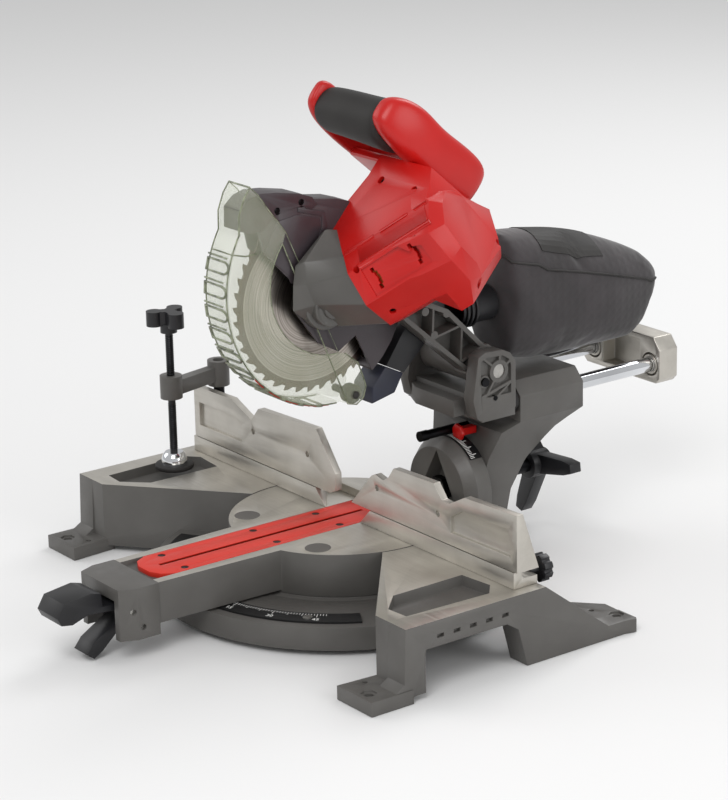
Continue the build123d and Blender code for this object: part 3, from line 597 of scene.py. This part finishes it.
# %% Neck between motor and handle
NECK_FRONT, NECK_BACK = -65.2, 44
neck_outline = [(10, 224), (8, 252), (17, 292), (17, 317), (98, 317), (112, 296), (117, 282), (78, 232),
                (48, 206)]
neck_inner = [(24, 236), (23, 256), (28, 290), (28, 316), (88, 316), (98, 296), (100, 284), (74, 240),
              (50, 222)]
neck = loft("motor_neck_shell", [
    [(x, NECK_FRONT, z) for x, z in neck_outline],
    [(x, NECK_FRONT + 74, z) for x, z in neck_outline],
    [(x, NECK_BACK, z) for x, z in neck_inner],
])
for x, z in ((39, 291), (92, 290)):
    cut(neck, rod("well", 4.0, 14, (x, NECK_FRONT, z), (math.radians(90), 0, 0), 20))
bevelled(neck, 2.2, 3, 24)
settle(neck, RAISE, "head", red_shell, "red_plastic")

# %% [markdown]
# Dark screw heads sit at the bottom of the wells. Each is a low dome with a star recess,
# modelled once as a ring that is inset and pushed in, then copied.

# %% Well screws
def screw_head(name, radius=3.0):
    """Button head along +Z with a six-pointed recess, in millimetres, centred at zero."""
    bpy.ops.mesh.primitive_cylinder_add(vertices=12, radius=radius, depth=2.0)
    head = bpy.context.object
    head.name = name
    bpy.ops.object.mode_set(mode="EDIT")
    bpy.ops.mesh.select_all(action="DESELECT")
    bpy.ops.object.mode_set(mode="OBJECT")
    for face in head.data.polygons:
        face.select = face.normal.z > 0.9
    bpy.ops.object.mode_set(mode="EDIT")
    bpy.ops.mesh.inset(thickness=radius * 0.22, depth=0.6)
    bpy.ops.mesh.inset(thickness=radius * 0.3, depth=0)
    bpy.ops.mesh.extrude_region_move(TRANSFORM_OT_translate={"value": (0, 0, -1.2)})
    bpy.ops.object.mode_set(mode="OBJECT")
    return head


def screws(name, spots, body, radius=3.0, finish=black_steel):
    """One piece of many screw heads; each spot is a matrix that takes +Z outwards."""
    heads = []
    for spot in spots:
        head = screw_head("screw", radius)
        head.data.transform(spot)
        heads.append(head)
    made = join(name, heads)
    only(made)
    bpy.ops.object.shade_smooth_by_angle(angle=math.radians(35))
    return settle(made, MILLI, body, finish, "black_steel")


IN_MM = Matrix.Scale(1000, 4)
FACE_FRONT = Matrix.Rotation(math.radians(90), 4, "X")
FACE_OUT = Matrix.Rotation(math.radians(90), 4, "Y")
spots = [IN_MM @ RAISE @ Matrix.Translation((x, NECK_FRONT + 4.5, z)) @ FACE_FRONT
         for x, z in ((39, 291), (92, 290))]
spots += [IN_MM @ MOTOR @ Matrix.Translation((out, back + 6, level)) @ FACE_FRONT
          for out, back, level in SHELL_WELLS[:3]]
side_well = (SHELL_WELLS[3][0] + 4, SHELL_WELLS[3][1], SHELL_WELLS[3][2])
spots += [IN_MM @ MOTOR @ Matrix.Translation(side_well) @ FACE_OUT]
screws("motor_shell_screws", spots, "head")
# %% [markdown]
# The handle is a loop: a red arm on each side, a rubber grip across the front, and a back
# bridge on the neck. Arms like these have no flat faces, so each is a coarse loft whose
# corners are rounded by two levels of subdivision.

# %% Smooth lofts
def smooth(piece, levels=2):
    modifier = piece.modifiers.new("round", "SUBSURF")
    modifier.levels = levels
    modifier.render_levels = levels
    apply_modifiers(piece)
    only(piece)
    bpy.ops.object.shade_smooth()
    return piece


def oval(x, back, up_mid, half_back, half_up, square=0.72, sides=12):
    """Rounded ring across X at one x; square below 1 makes it boxier."""
    ring = []
    for i in range(sides):
        angle = 2 * math.pi * i / sides
        c, s = math.cos(angle), math.sin(angle)
        ring.append((x, back + half_back * math.copysign(abs(c) ** square, c),
                     up_mid + half_up * math.copysign(abs(s) ** square, s)))
    return ring


def section(back, left, right_edge, low, high, sides=12, square=0.6):
    """Rounded ring across the level head's length, between two x and two heights."""
    ring = []
    for i in range(sides):
        angle = 2 * math.pi * i / sides
        c, s = math.cos(angle), math.sin(angle)
        ring.append(((left + right_edge) / 2 + (right_edge - left) / 2 * math.copysign(abs(c) ** square, c), back,
                     (low + high) / 2 + (high - low) / 2 * math.copysign(abs(s) ** square, s)))
    return ring

# %% [markdown]
# The right arm swells towards the back, with a dip in its top line where the palm's heel
# rests. The left arm is slimmer and hugs the grip's end.

# %% Handle arms and back bridge
right_arm = loft("handle_right_arm", [
    section(-121, 44, 54, 334, 350), section(-117, 41, 62, 327, 358), section(-104, 40, 68, 320, 366),
    section(-82, 40, 74, 317, 370), section(-54, 38, 76, 315, 365), section(-24, 36, 76, 313, 368),
    section(6, 36, 74, 313, 369), section(20, 38, 72, 316, 364), section(25, 44, 66, 326, 354),
])
smooth(right_arm)
left_arm = loft("handle_left_arm", [
    section(-134, -44, -38, 334, 346), section(-131, -49, -36, 324, 353), section(-118, -51, -35, 316, 357),
    section(-96, -51, -36, 313, 354), section(-66, -50, -34, 312, 346), section(-34, -46, -28, 313, 342),
    section(-6, -40, -20, 314, 340), section(4, -36, -24, 318, 336),
])
smooth(left_arm)
bridge = loft("handle_back_bridge", [
    oval(-46, -26, 327, 15, 12), oval(-40, -26, 328, 20, 15), oval(-10, -22, 329, 26, 17),
    oval(24, -18, 333, 34, 22),
    oval(52, -16, 338, 36, 26), oval(62, -14, 338, 30, 22),
])
smooth(bridge)
lower_lip = slab("handle_lower_lip", [(-62, 310), (-60, 320), (24, 322), (30, 311)], -36, 62, "x")
bevelled(lower_lip, 3.0, 3, 24)
handle_shell = join("handle_shell", [right_arm, left_arm, bridge, lower_lip])
settle(handle_shell, RAISE, "head", red_shell, "red_plastic", "handle")

# %% [markdown]
# The grip is a fat oval bar in soft rubber, thicker at the right end, with a thin groove
# where it meets the red arm.

# %% Rubber grip and trigger
grip = loft("handle_grip_rubber", [
    oval(-44, -107, 334, 15, 14, 0.9, 20), oval(-37, -106, 334, 22, 21, 0.9, 20),
    oval(-34.6, -105, 334.5, 23.5, 22.5, 0.9, 20),
    oval(-20, -103, 335.5, 24.5, 23, 0.9, 20), oval(0, -99, 336.5, 26, 23.5, 0.9, 20),
    oval(20, -94, 337.5, 28, 24, 0.9, 20),
    oval(36, -90, 338.5, 30.5, 24.5, 0.9, 20), oval(43, -89, 339, 31, 24.5, 0.9, 20),
    oval(48, -89, 339, 26, 20, 0.9, 20),
])
smooth(grip)
settle(grip, RAISE, "head", black_rubber, "black_rubber", "handle_grip")
switch = loft("trigger_blade", [
    oval(-17, -71, 331, 3, 6), oval(-14, -69, 331, 5, 9), oval(0, -66, 331, 6, 10), oval(14, -64, 332, 6, 10),
    oval(17, -65, 332, 3, 6),
])
smooth(switch)
settle(switch, RAISE, "trigger", black_plastic, "dark_plastic", "trigger")
# %% [markdown]
# The lower guard is a clear channel that hugs the blade: two thin cheeks, a rim between them
# with moulded ladder ribs, and a pointed hood in front. Clear plastic reads by its edges, so the
# cheeks stay thin and pale while beads run along every edge in a deeper tint: partly the plastic's
# own green cast, partly painted shade for the dark lines that bent light draws along clear edges.

# %% Guard outline
GUARD_MIDDLE = (-35.0, 187.0)
RIM_RADIUS, THROAT_RADIUS = 127.5, 76.0
CHEEK_IN, CHEEK_OUT = 15.2, 17.8


def polar(radius, degrees):
    angle = math.radians(degrees)
    return (GUARD_MIDDLE[0] + radius * math.cos(angle), GUARD_MIDDLE[1] + radius * math.sin(angle))


def arc(radius, start, end, count):
    return [polar(radius, start + (end - start) * i / (count - 1)) for i in range(count)]


HOOD = [(-115, 194), (-130, 197.5), (-144, 200), (-156, 203), (-167, 205.5), (-179, 206), (-178, 194),
        (-172, 177)]
HEEL = [(62, 97), (72, 102), (75, 112), (70, 123), (60, 129), (45, 137), (25, 136)]
CHEEK = HOOD + arc(RIM_RADIUS, 191, 313, 44) + HEEL + arc(THROAT_RADIUS, 314, 183, 40)
cheeks = [slab("cheek", CHEEK, low, high) for low, high in ((CHEEK_IN, CHEEK_OUT), (-CHEEK_OUT, -CHEEK_IN))]
rim_outer = [(-179, 206), (-178, 194), (-172, 177)] + arc(RIM_RADIUS, 191, 311, 44)
rim_inner = [(-176.5, 205), (-175.5, 194), (-169.6, 177)] + arc(RIM_RADIUS - 2.3, 191, 311, 44)
rim = loft("rim", [[(-CHEEK_OUT, *rim_outer[i]), (CHEEK_OUT, *rim_outer[i]), (CHEEK_OUT, *rim_inner[i]),
                    (-CHEEK_OUT, *rim_inner[i])] for i in range(len(rim_outer))])
only(rim)
bpy.ops.object.shade_smooth_by_angle(angle=math.radians(40))
clear_sheet = join("lower_guard_clear", cheeks + [rim])
settle(clear_sheet, RAISE, "lower_guard", clear_plastic, "clear", "lower_guard")

# %% [markdown]
# Beads and ribs are round bars bent along a path. A curve with a round section draws each
# one; it becomes a mesh before it is joined, so that its place is in its points.

# %% Edge beads and ladder ribs
def bead(name, points, radius, closed=False):
    """Round bar along points, as a mesh."""
    curve = bpy.data.curves.new(name, "CURVE")
    curve.dimensions = "3D"
    curve.bevel_depth = radius
    curve.bevel_resolution = 1
    curve.use_fill_caps = True
    spline = curve.splines.new("POLY")
    spline.points.add(len(points) - 1)
    for point, place in zip(spline.points, points):
        point.co = (*place, 1)
    spline.use_cyclic_u = closed
    piece = bpy.data.objects.new(name, curve)
    bpy.context.collection.objects.link(piece)
    only(piece)
    bpy.ops.object.convert(target="MESH")
    return bpy.context.object


# Beads and ribs get a darker, denser tint than the cheeks, drifting at random over 9 mm patches: partly the
# plastic's own green cast, partly painted shade for the dark lines along clear edges.
edge_tint_and_painted_shade, tree, principled = finish_of("polycarbonate_edge_tint_and_painted_shade", "#787d68", Roughness=0.12, IOR=1.5, Alpha=0.8)
place, ramp = mottled(tree, principled, "#5e634f", "#9aa087", 9)
EDGE = 0.75
throat_line = list(reversed(arc(THROAT_RADIUS, 314, 183, 40))) + HOOD[:6]
throat = [(CHEEK_OUT, y, z) for y, z in throat_line]
near_rim = [(CHEEK_OUT, y, z) for y, z in rim_outer]
heel = [(CHEEK_OUT, y, z) for y, z in reversed(HEEL)] + throat[:1]
beads = [bead("bead", heel, EDGE), bead("bead", throat, EDGE * 0.7),
         bead("bead", near_rim, EDGE), bead("bead", [(-x, y, z) for x, y, z in near_rim], EDGE),
         bead("bead", [(-x, y, z) for x, y, z in throat], EDGE * 0.7)]
beads.append(bead("bead", [(-CHEEK_OUT, *HOOD[5]), (CHEEK_OUT, *HOOD[5])], EDGE * 1.3))
break_line = [(-CHEEK_OUT, *polar(RIM_RADIUS + 0.4, 200)), (CHEEK_OUT, *polar(RIM_RADIUS + 0.4, 200)),
              (CHEEK_OUT + 0.4, *polar(112, 199)), (CHEEK_OUT + 0.4, *polar(100, 196))]
beads.append(bead("bead", break_line, EDGE))


def ladder_rib(middle):
    """Raised loop with a round near end, and a bar above it, at this angle on the rim."""
    half = 2.6
    out = RIM_RADIUS + 1.3
    loop = [(-18.4, *polar(out, middle - half)), (11, *polar(out, middle - half)),
            (15, *polar(out, middle - half * 0.8)),
            (17.6, *polar(out - 0.4, middle - half * 0.3)), (17.6, *polar(out - 0.4, middle + half * 0.3)),
            (15, *polar(out, middle + half * 0.8)), (11, *polar(out, middle + half)),
            (-18.4, *polar(out, middle + half))]
    bar = [(-18.4, *polar(out + 0.6, middle - 4.4)), (13, *polar(out + 0.6, middle - 4.4))]
    return [bead("rib", loop, 1.25, True), bead("rib", bar, 1.0)]


RIB_PITCH, FIRST_RIB, RIBS = 10.6, 206.5, 10
for i in range(RIBS):
    beads += ladder_rib(FIRST_RIB + RIB_PITCH * i)
guard_edges = join("lower_guard_beads_and_ribs", beads)
only(guard_edges)
bpy.ops.object.shade_smooth()
settle(guard_edges, RAISE, "lower_guard", edge_tint_and_painted_shade, "clear")
red_path = [(16.5, *polar(RIM_RADIUS + 0.9, 262 + 3 * i)) for i in range(16)]
red_strip = bead("lower_guard_red_line", red_path, 0.7)
settle(red_strip, RAISE, "lower_guard", red_shell, "red_plastic")

# %% [markdown]
# The upper guard is a painted casting over the top half of the blade. Its near cheek has a
# framed front block with two screws, a shallow panel line, and a ridge that runs back.

# %% Upper guard front block and ridge
BLOCK = [(-172, 183), (-170, 197), (-163, 208), (-148, 219), (-124, 233), (-108, 239), (-98, 236),
         (-101, 228),
         (-113, 226), (-134, 203), (-137, 181), (-148, 171), (-159, 167)]
front_block = slab("upper_guard_front_block", BLOCK, -13.5, 14.9)
HOLLOW = [(-180, 150), (-20, 150), (-110, 228), (-130, 218), (-146, 204), (-152, 186)]
cut(front_block, slab("slot", HOLLOW, -11, 11))
for y, z in ((-135, 206), (-116, 228)):
    cut(front_block, rod("well", 3.4, 5, (14.9, y, z), (0, math.radians(90), 0), 20))
bevelled(front_block, 1.8, 3, 26)
RIDGE = [(-116, 222), (-86, 236), (-74, 226), (-66, 196), (-70, 195), (-79, 222), (-86, 230), (-113, 218)]
ridge = slab("upper_guard_ridge", RIDGE, 13, 15.0)
bevelled(ridge, 0.8, 2, 26)
PLATE = [(-128, 198), (-112, 216), (-87, 228), (-80, 222), (-72, 194), (-74, 158), (-86, 163), (-106, 163),
         (-122, 166)]
cheek_plate = slab("upper_guard_cheek_plate", PLATE, 13, 14.8)
bevelled(cheek_plate, 0.9, 2, 26)
upper_detail = join("upper_guard_details", [front_block, ridge, cheek_plate])
settle(upper_detail, RAISE, "head", guard_paint, "cast_grey")
screws("upper_guard_screw_heads", [IN_MM @ RAISE @ Matrix.Translation((13.4, y, z)) @ FACE_OUT
                                   for y, z in ((-135, 206), (-116, 228))], "head", 2.7)
# %% [markdown]
# The gear case is a faceted casting that funnels from the motor down to the blade's arbor.
# Its ridges meet in one low corner near the guard; round the arbor it ends in a drum.

# %% Gear case facets
SPLIT = [(out * 0.97, back * 0.97, along_shaft) for out, back, along_shaft in BARREL[0]]
SPLIT = [(out, back, max(level, 30) + 1) for out, back, level in SPLIT]
TO_LEVEL = RAISE.inverted() @ MOTOR
split_ring = [tuple(TO_LEVEL @ Vector(point)) for point in SPLIT]
GUARD_SIDE = [(18.5, -78, 216), (19.5, -86, 173), (20, -76, 156), (20, -60, 136), (20, -26, 137),
              (20, 4, 158), (20, 12, 182),
              (19, 0, 214), (18.5, -40, 232)]
MIDDLE = [(22, -79, 222), (27, -84, 180), (32, -71, 163), (34, -50, 152), (34, -12, 150), (30, 8, 166),
          (26, 14, 188),
          (22, 2, 222), (20, -40, 234)]
gear = loft("gear_case_casting", [GUARD_SIDE, MIDDLE, split_ring])
bevelled(gear, 2.2, 3, 16)
drum_middle = (0, -32, 162)
parts = [gear]
for radius, low, high in ((26, 15, 27), (21, 26, 36), (12.5, 34, 40)):
    middle = ((low + high) / 2, drum_middle[1], drum_middle[2])
    drum = rod("drum", radius, high - low, middle, (0, math.radians(90), 0), 48)
    bevelled(drum, 1.4, 3, 30)
    parts.append(drum)
hexagon = rod("hexagon", 5.6, 20, (42, drum_middle[1], drum_middle[2]), (0, math.radians(90), 0), 6)
cut(parts[3], hexagon)
for start in (100, 215):
    groove = []
    for i in range(9):
        angle = math.radians(start + 8 * i)
        groove.append((37.5, drum_middle[1] + 17 * math.cos(angle), drum_middle[2] + 17 * math.sin(angle)))
    cut(parts[2], bead("groove", groove, 2.6))
cut(gear, rod("well", 6.5, 40, (48, -12, 178), (0, math.radians(62), math.radians(-30)), 28))
gear_case = join("gear_case_casting", parts)
settle(gear_case, RAISE, "head", head_paint, "cast_grey", "gear_case")
screws("gear_case_screw", [IN_MM @ RAISE @ Matrix.Translation((38, -13, 177)) @ FACE_OUT], "head", 4.0)
# %% [markdown]
# Base and table are painted castings whose working faces are milled bare. The faces that lie
# at table height get the milled metal; pockets, sides and the arm's flanks keep the paint.

# %% Milled faces
TABLE_HEIGHT = 75.0
UPWARD = 0.98


def milled_faces(name, low):
    """Give every upward face above low the bare metal; return how many."""
    piece = bpy.data.objects[name]
    piece.data.materials.append(milled_aluminium)
    last = len(piece.data.materials) - 1
    count = 0
    for face in piece.data.polygons:
        if face.normal.z > UPWARD and face.center.z > low * MM:
            face.material_index = last
            count += 1
    return count


for name in ("base_casting_rounded", "turntable_rounded"):
    print(name, "milled faces:", milled_faces(name, TABLE_HEIGHT - 1.2))

# %% [markdown]
# The mitre scale is a black band under the table's front edge with white marks, one for each
# degree and a longer one for every fifth. Numbers stand at every fifteenth.

# %% Scale marks and numbers
def mark(name, width, length, place, turn, lift=0.25):
    """Thin white bar, length along its own Y."""
    bpy.ops.mesh.primitive_cube_add(size=1)
    piece = bpy.context.object
    piece.name = name
    turned = Matrix.Translation(place) @ Matrix.Rotation(turn, 4, "Z")
    piece.data.transform(turned @ Matrix.Diagonal((width, length, lift, 1)))
    return piece


def numeral(text, size, matrix):
    """Flat digits as a mesh at this place."""
    curve = bpy.data.curves.new("numeral", "FONT")
    curve.body = text
    curve.size = size
    curve.align_x = "CENTER"
    curve.align_y = "CENTER"
    curve.extrude = 0.08
    curve.resolution_u = 2
    piece = bpy.data.objects.new("numeral", curve)
    bpy.context.collection.objects.link(piece)
    only(piece)
    bpy.ops.object.convert(target="MESH")
    piece = bpy.context.object
    piece.data.transform(matrix)
    return piece


TABLE_MIDDLE_Y, SCALE_TOP, SCALE_IN, SCALE_OUT = 17.0, 32.05, 164.0, 186.0
marks = []
for degrees in range(-48, 49):
    turn = math.radians(degrees)
    length = 8.0 if degrees % 15 == 0 else (6.0 if degrees % 5 == 0 else 3.5)
    reach = SCALE_IN + 2.5 + length / 2
    place = (reach * math.sin(turn), TABLE_MIDDLE_Y - reach * math.cos(turn), SCALE_TOP)
    marks.append(mark("mark", 0.55, length, place, turn))
for degrees in (-45, -30, -15, 0, 15, 30, 45):
    turn = math.radians(degrees)
    reach = SCALE_OUT - 6
    place = Matrix.Translation((reach * math.sin(turn), TABLE_MIDDLE_Y - reach * math.cos(turn), SCALE_TOP))
    marks.append(numeral(str(abs(degrees)), 7.5, place @ Matrix.Rotation(turn, 4, "Z")))
settle(join("mitre_scale_marks", marks), MILLI, BODY_OF["mitre_scale"], white_ink, SLOT_OF["mitre_scale"])

# %% [markdown]
# The tilt scale wraps the top of the round trunnion. Its marks lie across the band, so
# each bar is laid flat at the top of the round and turned about the tilt axis.

# %% Tilt scale
BAND_OUT, BAND_Y = 56.65, 155.0
marks = []
for degrees in range(-44, 45, 2):
    length = 9.0 if degrees % 10 == 0 else 5.0
    bar = mark("mark", 0.6, length, (0, BAND_Y + length / 2, BAND_OUT), 0)
    tilt = Matrix.Rotation(math.radians(degrees), 4, "Y")
    bar.data.transform(Matrix.Translation((0, 0, TABLE_HEIGHT)) @ tilt)
    marks.append(bar)
settle(join("bevel_scale_marks", marks), MILLI, BODY_OF["bevel_scale"], white_ink, SLOT_OF["mitre_scale"])

# %% [markdown]
# The work clamp's screw is threaded over most of its length. Stacked rings with sharp
# crests stand for the thread; at this pitch the eye can't tell them from a helix.

# %% Clamp thread
CLAMP_AT = (-237.0, -34.0)
THREAD_PITCH, THREAD_ROOT, THREAD_CREST = 2.5, 3.9, 4.5


def thread(low, high):
    rings = []
    for i in range(int((high - low) / THREAD_PITCH * 2)):
        radius = THREAD_CREST if i % 2 else THREAD_ROOT
        level = low + i * THREAD_PITCH / 2
        angles = [math.radians(a) for a in range(0, 360, 24)]
        rings.append([(CLAMP_AT[0] + radius * math.cos(a), CLAMP_AT[1] + radius * math.sin(a), level)
                      for a in angles])
    return loft("thread", rings)


threads = join("clamp_screw_thread", [thread(97, 150), thread(180, 227)])
settle(threads, MILLI, BODY_OF["clamp_screw"], black_steel, SLOT_OF["clamp_screw"])
# %% [markdown]
# The dust bag is a sewn fabric sack that hangs behind the motor and sags full of sawdust.
# It starts as a shell lofted front to back, slightly small, and is blown up a little as
# cloth, so that its sides crown between the seams. The piping and the vent come after.

# %% Dust bag shell
BAG_SECTIONS = [(208, 222, 332, -30, 36), (213, 208, 342, -37, 43), (250, 203, 338, -39, 45),
                (290, 200, 331, -39, 45),
                (324, 199, 321, -39, 45), (360, 199, 311, -38.5, 44.5), (385, 200, 302, -37, 43),
                (402, 212, 294, -35, 41),
                (414, 234, 284, -32, 38), (420, 250, 276, -27, 33)]
AROUND, SQUARENESS = 40, 3.4


def bag_ring(y, low, high, left, right):
    ring = []
    for i in range(AROUND):
        angle = 2 * math.pi * i / AROUND
        c, s = math.cos(angle), math.sin(angle)
        across = math.copysign(abs(c) ** (2 / SQUARENESS), c)
        up = math.copysign(abs(s) ** (2 / SQUARENESS), s)
        ring.append(((left + right) / 2 + (right - left) / 2 * across, y,
                     (low + high) / 2 + (high - low) / 2 * up))
    return ring


bag = loft("dust_bag_fabric", [bag_ring(*section) for section in BAG_SECTIONS])
bag.data.transform(MILLI)
remesh = bag.modifiers.new("even", "REMESH")
remesh.mode = "VOXEL"
remesh.voxel_size = 0.0055
apply_modifiers(bag)

# %% Bag blown up as cloth
BAG_LOW, BAG_HIGH = Vector((-42, 204, 193.8)) * MM, Vector((48, 428, 348)) * MM
MOST_SWELL = 0.007
shell = [vertex.co.copy() for vertex in bag.data.vertices]
cloth = bag.modifiers.new("cloth", "CLOTH")
cloth.settings.use_pressure = True
cloth.settings.uniform_pressure_force = 4
cloth.settings.effector_weights.gravity = 0
for number in range(1, 21):
    bpy.context.scene.frame_set(number)
apply_modifiers(bag)
bpy.context.scene.frame_set(1)
for vertex, start in zip(bag.data.vertices, shell):
    move = vertex.co - start
    if move.length > MOST_SWELL:
        vertex.co = start + move.normalized() * MOST_SWELL


def sag(place):
    """Soft folds of a half-filled sack: shallow waves that fade toward the ends."""
    y, z = place.y / MM, place.z / MM
    fade = max(0.0, 1 - abs(y - 310) / 130)
    wave = 1.5 * math.sin(y / 17 + z / 41) + 1.1 * math.sin(y / 31 - z / 23 + 1.4)
    wave += 0.8 * math.sin(z / 11 + y / 53)
    return wave * fade * MM


middle = (BAG_LOW + BAG_HIGH) / 2
for vertex in bag.data.vertices:
    side = math.copysign(1, vertex.co.x - middle.x) * min(1.0, abs(vertex.co.x - middle.x) / 0.03)
    vertex.co.x += side * (sag(vertex.co) - 0.0014)
    vertex.co.z += min(1.0, abs(vertex.co.z - middle.z) / 0.05) * sag(vertex.co.yxz) * 0.4
    for axis in range(3):
        vertex.co[axis] = min(max(vertex.co[axis], BAG_LOW[axis]), BAG_HIGH[axis])
finer = bag.modifiers.new("finer", "SUBSURF")
finer.levels = finer.render_levels = 1
apply_modifiers(bag)
only(bag)
bpy.ops.object.shade_smooth()
bag.data.materials.clear()
bag.data.materials.append(bag_cloth)
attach(bag, "dust_bag")
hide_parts("dust_bag")
print("bag", len(bag.data.polygons), "faces")

# %% Piping and vent panel
def on_bag(y, z, side=1, out=0.6):
    """Point on the bag's side at this height and distance back."""
    start = Vector((0.3 * side, y * MM, z * MM))
    hit, place, normal, index = bag.ray_cast(start, Vector((-side, 0, 0)))
    if not hit:
        hit, place, normal, index = bag.closest_point_on_mesh(Vector((0.04 * side, y * MM, z * MM)))
    return tuple((place + normal * out * MM) / MM)


SEAM = [(209, 322), (213, 316), (244, 309), (255, 302), (300, 292), (341, 282), (395, 267), (407, 262),
        (419, 264)]
seam_points = []
for (y0, z0), (y1, z1) in zip(SEAM, SEAM[1:]):
    seam_points += [(y0 + (y1 - y0) * t / 4, z0 + (z1 - z0) * t / 4) for t in range(4)]
piping = [bead("piping", [on_bag(y, z, side) for y, z in seam_points], 1.3) for side in (1, -1)]
seam_piece = join("dust_bag_piping", piping)
only(seam_piece)
bpy.ops.object.shade_smooth()
settle(seam_piece, MILLI, "dust_bag", black_rubber, "fabric")

bpy.ops.mesh.primitive_grid_add(x_subdivisions=12, y_subdivisions=14, size=1)
vent = bpy.context.object
vent.name = "dust_bag_vent"
for vertex in vent.data.vertices:
    across, back = 8 + vertex.co.x * 58, 296 + vertex.co.y * 84
    hit, place, normal, index = bag.ray_cast(Vector((across * MM, back * MM, 0.5)), Vector((0, 0, -1)))
    vertex.co = (place + normal * 0.0004) / MM
wall = vent.modifiers.new("wall", "SOLIDIFY")
wall.thickness, wall.offset = 0.5, 1
apply_modifiers(vent)
settle(vent, MILLI, "dust_bag", black_rubber, "fabric")
